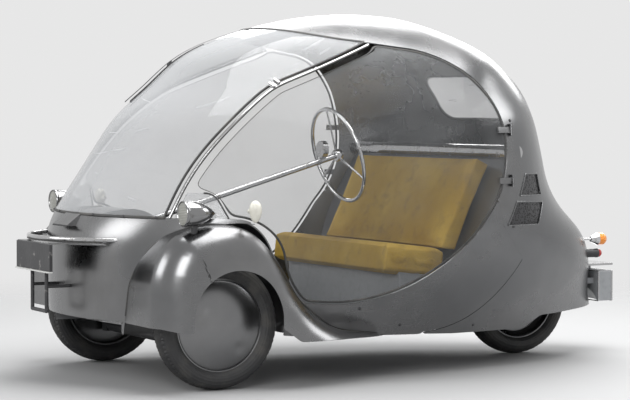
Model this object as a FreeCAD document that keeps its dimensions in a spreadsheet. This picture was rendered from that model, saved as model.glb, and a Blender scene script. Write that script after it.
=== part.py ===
"""Egg-shaped electric microcar with two wheels in front and one behind.

Millimetres. X points to the car's left, Y to its rear and Z up. Every piece is
drawn from the datum on the ground below the front axle, and then moved along Y
so that the origin is under the middle of the whole car.
"""
import FreeCAD, Part
import math
import os
import re
import Sketcher
from FreeCAD import Placement, Rotation, Vector

doc = FreeCAD.newDocument("three_wheeled_car")

# ---------------------------------------------------------------- sizes
SIZES = [
    # alias, value, what it is
    ("datum_y", -748, "front axle line, from the origin under the middle of the car"),
    ("track", 1021, "between the front tyres' middles"),
    ("wheelbase", 1611, "front axle to rear axle"),
    ("tyre_diameter", 465, "outside"),
    ("rim_diameter", 336, "bead of the tyre on its disc"),
    ("hubcap_dome", 34, "height of the domed cap over the disc's face"),
    ("hub_diameter", 64, "hub behind the disc"),
    ("stub_diameter", 25, "front stub axle"),
    ("rear_spindle", 22, "rear axle"),
    ("running_fit", 0.05, "radial clearance of a turning fit"),
    ("kingpin_diameter", 18, "steering pivot"),
    ("kingpin_x", 446, "steering pivot, from the middle plane"),
    ("beam_diameter", 48, "tubular front axle beam"),
    ("beam_height", 150, "middle of the front axle beam"),
    ("steer_arm", 95, "from the kingpin to the track rod's eye"),
    ("body_height", 1371, "roof above the ground"),
    ("body_half_width", 742, "widest point of the body"),
    ("nose_reach", 380, "body ahead of the front axle"),
    ("tail_reach", 1953, "body behind the front axle"),
    ("skin", 7, "aluminium skin with its stiffening"),
    ("glass", 5, "windscreen, door and rear panes"),
    ("pillar_width", 24, "tube between windscreen and door"),
    ("door_gap", 6, "open joint round a door"),
    ("door_edge", 13, "rubber edge round a door pane"),
    ("hinge_stand", 11, "door hinge line, out from the body's side"),
    ("hinge_y", 1168, "door hinge line, behind the front axle"),
    ("barrel_diameter", 12, "door hinge barrel"),
    ("barrel_length", 22, "door hinge barrel"),
    ("hinge_pin", 6, "door hinge pin diameter"),
    ("leaf_length", 76, "door hinge leaf, from its line forward"),
    ("leaf_foot", 22, "part of the leaf that is seated on the door's edge"),
    ("leaf_sheet", 3, "door hinge leaf"),
    ("leaf_stand", 5, "door hinge leaf, out from the body's side"),
    ("hinge_low", 735, "lower door hinge"),
    ("hinge_high", 925, "upper door hinge"),
    ("cowl_height", 615, "base of the windscreen"),
    ("corner_tall", 88, "fixed corner pane beside each headlamp, above the cowl"),
    ("corner_rear", 0, "rear end of the corner pane, behind the axle"),
    ("fender_side", 682, "outer face of the fenders"),
    ("fender_round", 120, "rounded shoulder of the fenders"),
    ("fender_inner", 290, "inner face of the fenders"),
    ("fender_turn", 60, "rounded inner side of the fenders"),
    ("fender_skin", 5, "sheet of the fenders"),
    ("arch_middle", 14, "middle of the fender's arch, behind the axle"),
    ("arch_radius", 174, "half round top of the fender's arch"),
    ("arch_rise", 28, "springing of the arch, above the axle"),
    ("floor_height", 192, "underside of the floor"),
    ("floor_sheet", 5, "floor and bulkhead sheet"),
    ("house_inner", 322, "inner wall of a front wheel housing"),
    ("bench_width", 952, "seat cushion and back"),
    ("bench_front", 736, "front face of the cushion"),
    ("bench_top", 491, "front edge of the cushion"),
    ("cushion_depth", 262, "cushion, front to rear"),
    ("cushion_thick", 92, "cushion"),
    ("cushion_tilt", 7, "cushion slopes down to the rear, degrees"),
    ("back_lean", 25, "seat back leans to the rear, degrees"),
    ("back_height", 400, "seat back along its slope"),
    ("back_thick", 60, "seat back"),
    ("shelf_height", 838, "parcel shelf behind the seat"),
    ("rail_diameter", 56, "rolled front edge of the shelf"),
    ("column_x", 264, "steering column, from the middle plane"),
    ("column_slope", 16.4, "column rises to the rear, degrees"),
    ("column_diameter", 22, "column jacket"),
    ("shaft_diameter", 12, "steering shaft in its jacket"),
    ("helm_y", 634, "centre of the steering wheel, behind the axle"),
    ("helm_z", 827, "centre of the steering wheel, above the ground"),
    ("helm_diameter", 362, "steering wheel, middle of the rim"),
    ("helm_rim", 15, "steering wheel rim section"),
    ("knob_reach", 51, "middle of the door knob, out from the body's side"),
    ("knob_y", 65, "door knob, behind the front axle"),
    ("knob_z", 641, "door knob"),
    ("lamp_x", 612, "headlamp, from the middle plane"),
    ("lamp_y", -176, "headlamp lens"),
    ("lamp_z", 634, "headlamp"),
    ("lamp_diameter", 90, "headlamp bowl"),
    ("lamp_length", 122, "headlamp, lens to tail"),
    ("plate_width", 335, "front plate board"),
    ("plate_height", 98, "front plate board"),
    ("plate_face", -494, "front plate board, from the axle"),
    ("plate_low", 413, "bottom of the front plate board"),
    ("bead_width", 72, "tyre across its beads"),
    ("tread_width", 62, "tyre across its tread"),
    ("sidewall_radius", 37, "bulge of the tyre's sides"),
    ("tread_radius", 110, "crown of the tread"),
    ("hub_length", 60, "wheel hub"),
    ("hubcap_round", 440, "radius of the domed cap"),
    ("knuckle_length", 92, "sleeve of a steering knuckle"),
    ("knuckle_diameter", 34, "sleeve of a steering knuckle"),
    ("cross_member_y", 1290, "rear cross member, behind the axle"),
    ("fork_half", 72, "rear fork's arms, from the middle plane"),
    ("back_place", 232, "seat back's foot behind the cushion's front"),
    ("bulkhead_y", 1045, "upright bulkhead behind the seat"),
    ("shelf_front", 1212, "front edge of the parcel shelf"),
    ("jacket_length", 800, "steering column jacket"),
    ("gear_case_z", 500, "bottom of the steering gear case"),
    ("pedal_y", -60, "pedals, behind the front axle"),
    ("lamp_round", 140, "curve of the headlamp bowl"),
    ("nose_bar_radius", 390, "bend of the tubular bar round the nose"),
    ("nose_bar_height", 531, "tubular bar above the ground"),
    ("nose_bar_diameter", 16, "tubular bar round the nose"),
    ("guard_spread", 71, "posts of the nose guard, from the middle plane"),
    ("guard_drop", 150, "posts of the nose guard, below the plate"),
    ("guard_tube", 14, "tube of the nose guard"),
    ("flap_half", 70, "air flap on the nose, half its width"),
    ("flap_low", 570, "lower lip of the air flap"),
    ("flap_tall", 45, "air flap"),
    ("flap_lip", 388, "lip of the air flap, ahead of the axle"),
    ("rear_plate_width", 330, "rear plate box"),
    ("rear_plate_height", 122, "rear plate box"),
    ("rear_plate_low", 216, "bottom of the rear plate box"),
    ("rear_plate_deep", 73, "rear plate box"),
    ("rear_plate_stand", 35, "face of the rear plate box, behind the tail"),
    ("hood_gap", 24, "hood above the rear plate box"),
    ("indicator_x", 200, "tail lamps, from the middle plane"),
    ("indicator_z", 474, "amber lamp"),
    ("indicator_round", 25, "amber lamp, radius"),
    ("red_lamp_z", 417, "red lamp"),
    ("red_lamp_round", 17, "red lamp, radius"),
    ("wiper_y", 384, "pivot of the wiper, behind the axle"),
    ("wiper_reach", 470, "wiper arm"),
    ("wiper_stand", 30, "wiper arm, off the glass"),
    ("wiper_sweep", 25, "wiper parked to the right of the middle, degrees"),
]

sheet = doc.addObject("Spreadsheet::Sheet", "sizes")
for row, (alias, value, meaning) in enumerate(SIZES, 1):
    sheet.set(f"A{row}", alias)
    sheet.set(f"B{row}", str(value))
    sheet.set(f"C{row}", meaning)
    sheet.setAlias(f"B{row}", alias)
doc.recompute()
WORDS = re.compile(r"\b(" + "|".join(entry[0] for entry in SIZES) + r")\b")


def tied(formula):
    """A formula in the sheet's words, as an expression of the document."""
    return WORDS.sub(r"sizes.\1", str(formula))


def number(formula):
    """The value of a formula in the sheet's words, worked out in a spare cell."""
    sheet.set("E1", "=" + str(formula))
    sheet.recompute()
    return float(sheet.get("E1"))


# ---------------------------------------------------------------- helpers
nodes = []


def bind(item, **formulas):
    """Tie properties to the sheet; a double underscore stands for a dot."""
    for name, formula in formulas.items():
        item.setExpression(name.replace("__", "."), tied(formula))
    return item


def place(item, at=("0", "0", "0"), turn=None):
    """Put an item at a place given by three formulas, turned by a Rotation."""
    if turn is not None:
        item.Placement = Placement(Vector(), turn)
    for axis, formula in zip("xyz", at):
        item.setExpression(f"Placement.Base.{axis}", tied(formula))
    return item


def block(name, size, at, turn=None):
    item = doc.addObject("Part::Box", name)
    bind(item, Length=size[0], Width=size[1], Height=size[2])
    return place(item, at, turn)


ALONG_X = Rotation(Vector(0, 1, 0), 90)
ALONG_Y = Rotation(Vector(1, 0, 0), -90)
ALONG_Z = Rotation()
TO_REAR = Rotation(Vector(0, 0, 1), 90)


def rod(name, diameter, length, at, turn=ALONG_Z):
    item = doc.addObject("Part::Cylinder", name)
    bind(item, Radius=f"({diameter}) / 2", Height=length)
    return place(item, at, turn)


def fuse(name, items):
    item = doc.addObject("Part::MultiFuse", name)
    item.Shapes = items
    return item


def cut(name, base, tool):
    item = doc.addObject("Part::Cut", name)
    item.Base = base
    item.Tool = tool
    return item


def common(name, base, tool):
    item = doc.addObject("Part::Common", name)
    item.Base = base
    item.Tool = tool
    return item


def feature(name, shape):
    item = doc.addObject("Part::Feature", name)
    item.Shape = shape
    return item


def node(label, item):
    """Keep a finished piece as a node, moved from the axle datum to the origin."""
    holder = item
    if item.ExpressionEngine or item.TypeId == "PartDesign::Body":
        holder = doc.addObject("Part::Compound", "node_" + label)
        holder.Links = [item]
    holder.Label = label
    holder.setExpression("Placement.Base.y", tied("datum_y"))
    nodes.append(holder)
    return item


def outline(points):
    """A flat wire in the side plane: points are (y, z), or (y, z, y_mid, z_mid).

    A point with a middle is reached by an arc through that middle, and a point
    without one by a straight line.
    """
    edges = []
    last = points[-1]
    for point in points:
        start = Vector(0, last[0], last[1])
        end = Vector(0, point[0], point[1])
        if len(point) == 4:
            edges.append(Part.Arc(start, Vector(0, point[2], point[3]), end).toShape())
        else:
            edges.append(Part.LineSegment(start, end).toShape())
        last = point
    return Part.Wire(edges)


def across(wire, low, high):
    """The solid that a side-plane outline sweeps from x = low to x = high."""
    face = Part.Face(wire)
    face.translate(Vector(low, 0, 0))
    return face.extrude(Vector(high - low, 0, 0))


def grown(wire, distance):
    """The side-plane outline, moved outwards (or inwards, if negative)."""
    return Part.Face(wire).makeOffset2D(distance).Wires[0]


# ---------------------------------------------------------------- body form
# The body is a loft through level sections. Each section is four quarter
# curves that leave the middle plane square and meet the widest point square.
# Shares are of body_height, nose_reach, tail_reach and body_half_width; widest
# is the widest station behind the axle; fullness is the length of a quarter's
# handles, 0.55 for an ellipse and more for a squarer plan.
LEVELS = [
    # height, nose reach, tail reach, half width, widest, nose fullness, tail fullness
    (0.9991, 754, 866, 0.061, 827, 0.570, 0.607),
    (0.9898, 618, 984, 0.206, 873, 0.584, 0.604),
    (0.9664, 454, 1097, 0.368, 925, 0.600, 0.601),
    (0.9263, 277, 1221, 0.535, 981, 0.616, 0.597),
    (0.8680, 125, 1357, 0.690, 1018, 0.632, 0.593),
    (0.7914, 17, 1477, 0.823, 922, 0.648, 0.589),
    (0.7002, -107, 1548, 0.937, 830, 0.663, 0.585),
    (0.6127, -186, 1590, 0.982, 753, 0.674, 0.581),
    (0.5252, -263, 1633, 1.000, 685, 0.684, 0.578),
    (0.4449, -335, 1719, 0.991, 628, 0.692, 0.576),
    (0.3683, -372, 1841, 0.945, 577, 0.700, 0.573),
    (0.2918, -380, 1900, 0.875, 530, 0.706, 0.571),
    (0.2079, -378, 1915, 0.792, 480, 0.713, 0.569),
    (0.1094, -372, 1953, 0.702, 425, 0.720, 0.566),
]
HEIGHT = number("body_height")
HALF = number("body_half_width")
NOSE = number("nose_reach") / 380
TAIL = number("tail_reach") / 1953


def reach(station):
    """A station of the table, stretched with the nose or the tail."""
    return station * (NOSE if station < 0 else TAIL)


def quarter(centre, side, end, fullness):
    """One quarter of a level section, as a curve with square ends."""
    first = Vector(side, centre, 0)
    last = Vector(0, end, 0)
    curve = Part.BezierCurve()
    curve.setPoles([
        first,
        Vector(side, centre + fullness * (end - centre), 0),
        Vector(side * fullness, end, 0),
        last,
    ])
    return curve.toShape()


def level(index, inset):
    """Level section number index of the form, moved inwards by inset."""
    above = LEVELS[max(index - 1, 0)]
    below = LEVELS[min(index + 1, len(LEVELS) - 1)]
    height, nose, tail, half, widest, nose_full, tail_full = LEVELS[index]
    fall = (above[0] - below[0]) * HEIGHT
    spread = (below[3] - above[3]) * HALF
    slope = math.hypot(fall, spread)
    sideways = inset * fall / slope
    down = inset * spread / slope
    if index == 0:
        sideways, down = 0, inset
    front = reach(nose) + sideways
    rear = reach(tail) - sideways
    side = half * HALF - sideways
    middle = reach(widest)
    edges = [
        quarter(middle, side, rear, tail_full),
        quarter(middle, -side, rear, tail_full),
        quarter(middle, -side, front, nose_full),
        quarter(middle, side, front, nose_full),
    ]
    wire = Part.Wire(edges)
    wire.translate(Vector(0, 0, height * HEIGHT - max(down, 0)))
    return wire


def form(inset):
    """The whole body as one solid, moved inwards by inset."""
    return Part.makeLoft([level(i, inset) for i in range(len(LEVELS))], True, False)


SKIN = number("skin")
GLASS = number("glass")
PILLAR = number("pillar_width")
GAP = number("door_gap")
EDGE = number("door_edge")
COWL = number("cowl_height")
FAR = 1000
outer = form(0)
inner = form(SKIN)
glass_inner = form(GLASS)

# Side outlines of the openings and joints, as (y, z) or (y, z, y_mid, z_mid).
PILLAR_BASE = (-183, COWL)
PILLAR_KNEE = (258, 1094)
PILLAR_TOP = (673, 1252)
door_outline = outline([
    (PILLAR_KNEE[0], PILLAR_KNEE[1], -41, 836),
    PILLAR_TOP,
    (797, 1234),
    (1144, 857, 1030, 1130),
    (1047, 609, 1125, 738),
    (422, 292, 821, 390),
    (318, 300),
    (200, 452, 248, 368),
    (40, 612, 140, 556),
    PILLAR_BASE,
])
screen_outline = outline([
    (PILLAR_KNEE[0], PILLAR_KNEE[1], -41, 836),
    PILLAR_TOP,
    (PILLAR_TOP[0], HEIGHT + 200),
    (-FAR, HEIGHT + 200),
    (-FAR, COWL),
    PILLAR_BASE,
])
pillar_outline = outline([
    (PILLAR_KNEE[0], PILLAR_KNEE[1], -41, 836),
    PILLAR_TOP,
    (PILLAR_TOP[0] + 6, PILLAR_TOP[1] - PILLAR),
    (PILLAR_KNEE[0] + 8, PILLAR_KNEE[1] - PILLAR),
    (PILLAR_BASE[0] + PILLAR, PILLAR_BASE[1], -20, 822),
    PILLAR_BASE,
])
# The door swings over its headlamp, so the corner of the glass beside the lamp is fixed.
CORNER_TOP = COWL + number("corner_tall")
CORNER_REAR = number("corner_rear")
corner_outline = outline([
    (-FAR, COWL - 60),
    (-FAR, CORNER_TOP),
    (CORNER_REAR - 62, CORNER_TOP),
    (CORNER_REAR - 24, CORNER_TOP - 28, CORNER_REAR - 38, CORNER_TOP - 7),
    (CORNER_REAR, COWL),
    (CORNER_REAR, COWL - 60),
])
hem_outline = outline([
    (-FAR, 262), (-300, 240), (300, 178), (1000, 152), (1380, 150), (1470, 196),
    (2600, 222), (2600, 0), (-FAR, 0),
])

# The roof's front edge is a round prow seen from above.
PROW_RADIUS = 422
PROW_CENTRE = 392 + PROW_RADIUS
prow = Part.makeCylinder(PROW_RADIUS, HEIGHT, Vector(0, PROW_CENTRE, COWL))
screen_space = across(screen_outline, -FAR, FAR).cut(prow)
door_space = across(door_outline, 200, FAR)
pillar_space = across(pillar_outline, 200, FAR)
corner_space = across(corner_outline, 200, FAR).common(door_space).cut(pillar_space)
hem_space = across(hem_outline, -FAR, FAR)


def flipped(shape):
    return shape.mirror(Vector(), Vector(1, 0, 0))


# Rear window: a rounded rectangle seen from behind.
window_tool = Part.makeBox(660, FAR, 178, Vector(-330, 1150, 962))
window_tool = window_tool.makeFillet(58, [e for e in window_tool.Edges if e.BoundBox.YLength > FAR - 1])

# ---------------------------------------------------------------- fenders
FENDER_SIDE = number("fender_side")
FENDER_ROUND = number("fender_round")
FENDER_SKIN = number("fender_skin")
FENDER_INNER = number("fender_inner")
FENDER_TURN = number("fender_turn")
FENDER_START = (-278, 40)
FENDER_RIDGE = [
    # length of a straight or 0, radius, turn in degrees (positive to the ground)
    (313, 0, 0),
    (0, 275, 41),
    (0, 130, 25),
    (0, 505, 23),
    (0, 176, 65),
    (140, 0, 0),
    (0, 358, -57),
    (130, 0, 0),
]


def ridge(inset, x):
    """The fender's side outline at x, its ridge moved inwards by inset."""
    heading = math.pi / 2
    spot = Vector(x, FENDER_START[0] + inset, FENDER_START[1])
    edges = []
    for straight, radius, turn in FENDER_RIDGE:
        start = spot
        if straight:
            spot = start + Vector(0, math.cos(heading), math.sin(heading)) * straight
            edges.append(Part.LineSegment(start, spot).toShape())
            continue
        way = math.copysign(1, turn)
        size = radius - way * inset
        centre = start + Vector(0, math.sin(heading), -math.cos(heading)) * (way * size)
        points = []
        for share in (0.5, 1):
            bearing = heading - math.radians(turn) * share
            points.append(centre - Vector(0, math.sin(bearing), -math.cos(bearing)) * (way * size))
        edges.append(Part.Arc(start, points[0], points[1]).toShape())
        spot = points[1]
        heading = heading - math.radians(turn)
    low = FENDER_START[1]
    corner = Vector(x, spot.y, low)
    edges.append(Part.LineSegment(spot, corner).toShape())
    edges.append(Part.LineSegment(corner, edges[0].Vertexes[0].Point).toShape())
    return Part.Wire(edges)


def shoulder(inset, centre_x, size, side):
    """The rounded side of a fender, from its straight middle outwards or inwards."""
    sections = []
    for angle in (0, 22, 45, 68, 88):
        bend = math.radians(angle)
        sections.append(ridge(inset + size * (1 - math.cos(bend)), centre_x + side * size * math.sin(bend)))
    return Part.makeLoft(sections, True, False)


def fender_form(inset):
    """A fender as one solid with rounded sides, moved inwards by inset."""
    low_x = FENDER_INNER + FENDER_TURN
    high_x = FENDER_SIDE - FENDER_ROUND
    middle = Part.Face(ridge(inset, low_x)).extrude(Vector(high_x - low_x, 0, 0))
    outward = shoulder(inset, high_x, FENDER_ROUND - inset, 1)
    inward = shoulder(inset, low_x, FENDER_TURN - inset, -1)
    return middle.fuse([outward, inward]).removeSplitter()


HOUSE_INNER = number("house_inner")
SHEET = number("floor_sheet")
FLOOR = number("floor_height")
WELL_REAR = number("tyre_diameter / 2 + 30")

fender_solid = fender_form(0)
fender_hollow = fender_form(FENDER_SKIN)
ahead_of_wall = Part.makeBox(FAR, FAR + WELL_REAR, FAR, Vector(HOUSE_INNER, -FAR, 0))
well = fender_hollow.common(ahead_of_wall)


def trough(inset, x, rear):
    """The wheel's room inside the body, from x outwards and forward of rear."""
    room = Part.Face(ridge(inset, x)).extrude(Vector(FENDER_SIDE - FENDER_ROUND - x, 0, 0))
    return room.common(Part.makeBox(FAR, FAR + rear, FAR, Vector(0, -FAR, 0)))


wheel_room = trough(FENDER_SKIN, HOUSE_INNER, WELL_REAR)
room_wall = trough(0, HOUSE_INNER - SHEET, WELL_REAR + SHEET)
above_floor = Part.makeBox(2 * FAR, 4 * FAR, 2 * FAR, Vector(-FAR, -FAR, FLOOR))
housing = room_wall.cut(wheel_room).cut(well).common(inner).common(above_floor)

ARCH_MIDDLE = number("arch_middle")
ARCH_RADIUS = number("arch_radius")
ARCH_SPRING = number("tyre_diameter / 2 + arch_rise")
arch = across(outline([
    (ARCH_MIDDLE + ARCH_RADIUS, ARCH_SPRING, ARCH_MIDDLE, ARCH_SPRING + ARCH_RADIUS),
    (ARCH_MIDDLE + ARCH_RADIUS + 30, 100),
    (ARCH_MIDDLE - ARCH_RADIUS, 100),
    (ARCH_MIDDLE - ARCH_RADIUS, ARCH_SPRING),
]), 500, FAR)
fender_hem = across(outline([
    (-FAR, 236), (-262, 236), (-200, 222), (190, 222), (262, 172), (800, 172), (800, 0), (-FAR, 0),
]), 0, FAR)

fender_left = fender_solid.cut(fender_hollow).cut(outer).cut(arch).cut(fender_hem)
fender_left = max(fender_left.Solids, key=lambda piece: piece.Volume)

# ---------------------------------------------------------------- body panels
skin_all = outer.cut(inner).cut(hem_space).cut(screen_space).cut(window_tool)
for side in (lambda shape: shape, flipped):
    skin_all = skin_all.cut(side(door_space)).cut(side(well)).cut(side(arch))

# The panels meet behind the wheel wells and along a curved joint behind the sill.
seam_outline = outline([
    (WELL_REAR, 0),
    (860, 0),
    (860, 165),
    (1274, 432, 1161, 280),
    (1132, 562),
    (1095, 655),
    (700, 800),
    (WELL_REAR, 640),
])
sill_space = across(seam_outline, 200, FAR)
ahead = Part.makeBox(2 * FAR, FAR + WELL_REAR, 700, Vector(-FAR, -FAR, 0))

VENTS = [
    # y and z of the corners, from the upper front corner round
    [(1263, 758), (1361, 756), (1379, 674), (1222, 676)],
    [(1199, 654), (1386, 648), (1338, 563), (1153, 566)],
]
vent_tools = [across(outline(corners), 400, FAR) for corners in VENTS]

nose_shape = skin_all.common(ahead)
sill_shape = skin_all.cut(ahead).common(sill_space)
tail_shape = skin_all.cut(ahead).cut(sill_space).cut(flipped(sill_space))
vent_shape = None
for tool in vent_tools:
    for side in (lambda shape: shape, flipped):
        tail_shape = tail_shape.cut(side(tool))
        middle = form(SKIN * 0.35).cut(form(SKIN * 0.65)).common(side(tool))
        vent_shape = middle if vent_shape is None else vent_shape.fuse(middle)

glass_all = outer.cut(glass_inner)
pillar_shell = form(-5).cut(form(12))


def door_region(margin):
    """The door's field, inside the opening and clear of pillar and corner by a margin."""
    field = across(grown(door_outline, -margin), 200, FAR)
    for fixed in (pillar_outline, corner_outline):
        field = field.cut(across(grown(fixed, margin), 200, FAR))
    return field


door_field = door_region(GAP)
pane_field = door_region(GAP + EDGE)
edge_left = outer.cut(inner).common(door_field).cut(pane_field)
pane_left = glass_all.common(pane_field)
pillar_left = pillar_shell.common(pillar_space)
corner_left = glass_all.common(corner_space)

for label, shape in (
    ("nose_panel", nose_shape),
    ("sill_left", sill_shape),
    ("sill_right", flipped(sill_shape)),
    ("roof_tail_panel", tail_shape),
    ("side_vents", vent_shape),
    ("windscreen", glass_all.common(screen_space)),
    ("rear_window", glass_all.common(window_tool)),
    ("pillar_left", pillar_left),
    ("pillar_right", flipped(pillar_left)),
    ("corner_pane_left", corner_left),
    ("corner_pane_right", flipped(corner_left)),
    ("fender_left", fender_left),
    ("fender_right", flipped(fender_left)),
    ("door_pane_left", pane_left),
    ("door_pane_right", flipped(pane_left)),
    ("door_edge_left", edge_left),
    ("door_edge_right", flipped(edge_left)),
):
    node(label, feature("shape_" + label, shape))

# ---------------------------------------------------------------- floor
floor_shape = across(outline([
    (-400, 246), (-60, FLOOR), (1300, FLOOR),
    (1300, FLOOR + SHEET), (-60, FLOOR + SHEET), (-400, 246 + SHEET),
]), -FAR, FAR).common(inner)
for side in (lambda shape: shape, flipped):
    floor_shape = floor_shape.cut(side(room_wall)).fuse(side(housing))
cross_member = Part.makeBox(800, 40, 80, Vector(-400, number("cross_member_y"), FLOOR)).common(inner)
floor_shape = floor_shape.fuse(cross_member).removeSplitter()
node("floor_pan", feature("shape_floor_pan", floor_shape))

# ---------------------------------------------------------------- turned pieces
def turned(name, path, at, spin=ALONG_Z):
    """A PartDesign body turned about its local X axis.

    The path is a closed outline of (x, radius) formulas. A third value is the
    radius of the arc that leads to the point, and a fourth is +1 where that
    arc runs anticlockwise and -1 where it runs clockwise.
    """
    body = doc.addObject("PartDesign::Body", name)
    profile = body.newObject("Sketcher::SketchObject", name + "_sketch")
    for plane in body.Origin.OriginFeatures:
        if plane.Role == "XY_Plane":
            profile.AttachmentSupport = [(plane, "")]
    profile.MapMode = "FlatFace"
    spots = [Vector(number(p[0]), number(p[1]), 0) for p in path]
    ends = []
    for i, spot in enumerate(spots):
        start = spots[i - 1]
        if len(path[i]) == 2:
            profile.addGeometry(Part.LineSegment(start, spot), False)
            ends.append((1, 2))
            continue
        size, way = number(path[i][2]), path[i][3]
        chord = spot - start
        middle = (start + spot) * 0.5
        normal = Vector(-chord.y, chord.x, 0).normalize() * way
        centre = middle + normal * math.sqrt(size ** 2 - (chord.Length / 2) ** 2)
        top = centre - normal * size
        arc = Part.Arc(start, top, spot) if way > 0 else Part.Arc(spot, top, start)
        profile.addGeometry(arc, False)
        ends.append((1, 2) if way > 0 else (2, 1))
    count = len(path)
    for i in range(count):
        after = (i + 1) % count
        profile.addConstraint(Sketcher.Constraint("Coincident", i, ends[i][1], after, ends[after][0]))
    for i, point in enumerate(path):
        for kind, formula, axis, value in (
            ("DistanceX", point[0], -2, spots[i].x),
            ("DistanceY", point[1], -1, spots[i].y),
        ):
            if formula == "0":
                profile.addConstraint(Sketcher.Constraint("PointOnObject", i, ends[i][1], axis))
                continue
            row_made = profile.addConstraint(Sketcher.Constraint(kind, -1, 1, i, ends[i][1], value))
            profile.setExpression(f"Constraints[{row_made}]", tied(formula))
        if len(point) == 4:
            row_made = profile.addConstraint(Sketcher.Constraint("Radius", i, number(point[2])))
            profile.setExpression(f"Constraints[{row_made}]", tied(point[2]))
    turn = body.newObject("PartDesign::Revolution", name + "_turn")
    turn.Profile = profile
    turn.ReferenceAxis = (profile, ["H_Axis"])
    turn.Angle = 360
    return place(body, at, spin)


WHEELS = [
    # name, middle x, middle y, hub bore, outboard side
    ("front_left", "track / 2", "0", "stub_diameter", 1),
    ("front_right", "-track / 2", "0", "stub_diameter", -1),
    ("rear", "0", "wheelbase", "rear_spindle", 1),
]
FACING = {1: ALONG_Z, -1: Rotation(Vector(0, 0, 1), 180)}
RIM = "rim_diameter / 2"
for name, middle_x, middle_y, bore, side in WHEELS:
    spot = (middle_x, middle_y, "tyre_diameter / 2")
    tyre = turned("tyre_body_" + name, [
        ("-bead_width / 2", RIM),
        ("-tread_width / 2", "tyre_diameter / 2 - 5", "sidewall_radius", -1),
        ("tread_width / 2", "tyre_diameter / 2 - 5", "tread_radius", -1),
        ("bead_width / 2", RIM, "sidewall_radius", -1),
    ], spot, FACING[side])
    node("tyre_" + name, tyre)
    bore_radius = f"{bore} / 2 + running_fit"
    disc_path = [
        ("-hub_length / 2", bore_radius),
        ("-hub_length / 2", "hub_diameter / 2"),
        ("-8", "hub_diameter / 2"),
        ("-8", RIM + " - 10"),
        ("-bead_width / 2", RIM + " - 10"),
        ("-bead_width / 2", RIM),
        ("bead_width / 2", RIM),
    ]
    if name == "rear":
        disc_path += [
            ("bead_width / 2", RIM + " - 10"),
            ("0", RIM + " - 10"),
            ("0", "hub_diameter / 2"),
            ("hub_length / 2", "hub_diameter / 2"),
            ("hub_length / 2", bore_radius),
        ]
    else:
        disc_path += [
            ("bead_width / 2 + hubcap_dome", "0", "hubcap_round", -1),
            ("bead_width / 2 + hubcap_dome - 4", "0"),
            ("bead_width / 2 - 4", RIM + " - 4", "hubcap_round - 4", 1),
            ("0", RIM + " - 10"),
            ("0", "hub_diameter / 2"),
            ("hub_length / 2", "hub_diameter / 2"),
            ("hub_length / 2", bore_radius),
        ]
    node("wheel_" + name, turned("disc_" + name, disc_path, spot, FACING[side]))

# ---------------------------------------------------------------- running gear
AXLE = "tyre_diameter / 2"
PIN_LOW = "beam_height + beam_diameter / 2"
beam = [rod("beam_tube", "beam_diameter", "2 * kingpin_x", ("-kingpin_x", "0", "beam_height"), ALONG_X)]
for name, sign in (("left", "1"), ("right", "-1")):
    beam.append(block("beam_end_" + name, ("44", "48", "beam_diameter"),
                      (f"{sign} * kingpin_x - 22", "-24", "beam_height - beam_diameter / 2")))
    beam.append(rod("kingpin_" + name, "kingpin_diameter", "knuckle_length + 6",
                    (f"{sign} * kingpin_x", "0", PIN_LOW)))
    beam.append(block("spring_block_" + name, ("70", "90", "floor_height - beam_height"),
                      (f"{sign} * 200 - 35", "-45", "beam_height")))
node("front_axle", fuse("axle_fused", beam))

for name, sign, turn_x in (("left", "1", ALONG_X), ("right", "-1", Rotation(Vector(0, 1, 0), -90))):
    low = PIN_LOW + " + 0.3"
    solid = fuse("knuckle_solid_" + name, [
        rod("sleeve_" + name, "knuckle_diameter", "knuckle_length", (f"{sign} * kingpin_x", "0", low)),
        rod("stub_" + name, "stub_diameter", "track / 2 + hub_length / 2 - kingpin_x",
            (f"{sign} * kingpin_x", "0", AXLE), turn_x),
        rod("collar_" + name, "stub_diameter + 14", "track / 2 - hub_length / 2 - kingpin_x - 1",
            (f"{sign} * kingpin_x", "0", AXLE), turn_x),
        block("arm_" + name, ("20", "steer_arm", "10"), (f"{sign} * kingpin_x - 10", "0", low)),
    ])
    bore = rod("knuckle_bore_" + name, "kingpin_diameter + 2 * running_fit", "knuckle_length + 20",
               (f"{sign} * kingpin_x", "0", PIN_LOW + " - 5"))
    node("knuckle_" + name, cut("knuckle_cut_" + name, solid, bore))

FORK_FRONT = "cross_member_y + 40"
fork = [rod("rear_axle_pin", "rear_spindle", "2 * fork_half + 16",
            ("-fork_half - 8", "wheelbase", AXLE), ALONG_X)]
for name, sign in (("left", "1"), ("right", "-1")):
    fork.append(block("fork_arm_" + name, ("12", f"wheelbase + 24 - ({FORK_FRONT})", "44"),
                      (f"{sign} * fork_half - 6", FORK_FRONT, AXLE + " - 22")))
for name, start in (("left", "hub_length / 2 + 1"), ("right", "6 - fork_half")):
    fork.append(rod("fork_spacer_" + name, "rear_spindle + 12", "fork_half - hub_length / 2 - 7",
                    (start, "wheelbase", AXLE), ALONG_X))
fork.append(block("fork_bridge", ("2 * fork_half + 12", "14", "44"),
                  ("-fork_half - 6", FORK_FRONT, AXLE + " - 22")))
node("rear_fork", fuse("fork_fused", fork))

# ---------------------------------------------------------------- batteries and motor
node("battery_block", block("batteries", ("760", "165", "248"),
                            ("-380", "bulkhead_y + 12", "floor_height + floor_sheet")))
node("motor_block", block("motor", ("230", "110", "170"),
                          ("-115", "cross_member_y - 40", "floor_height + 80")))

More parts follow.
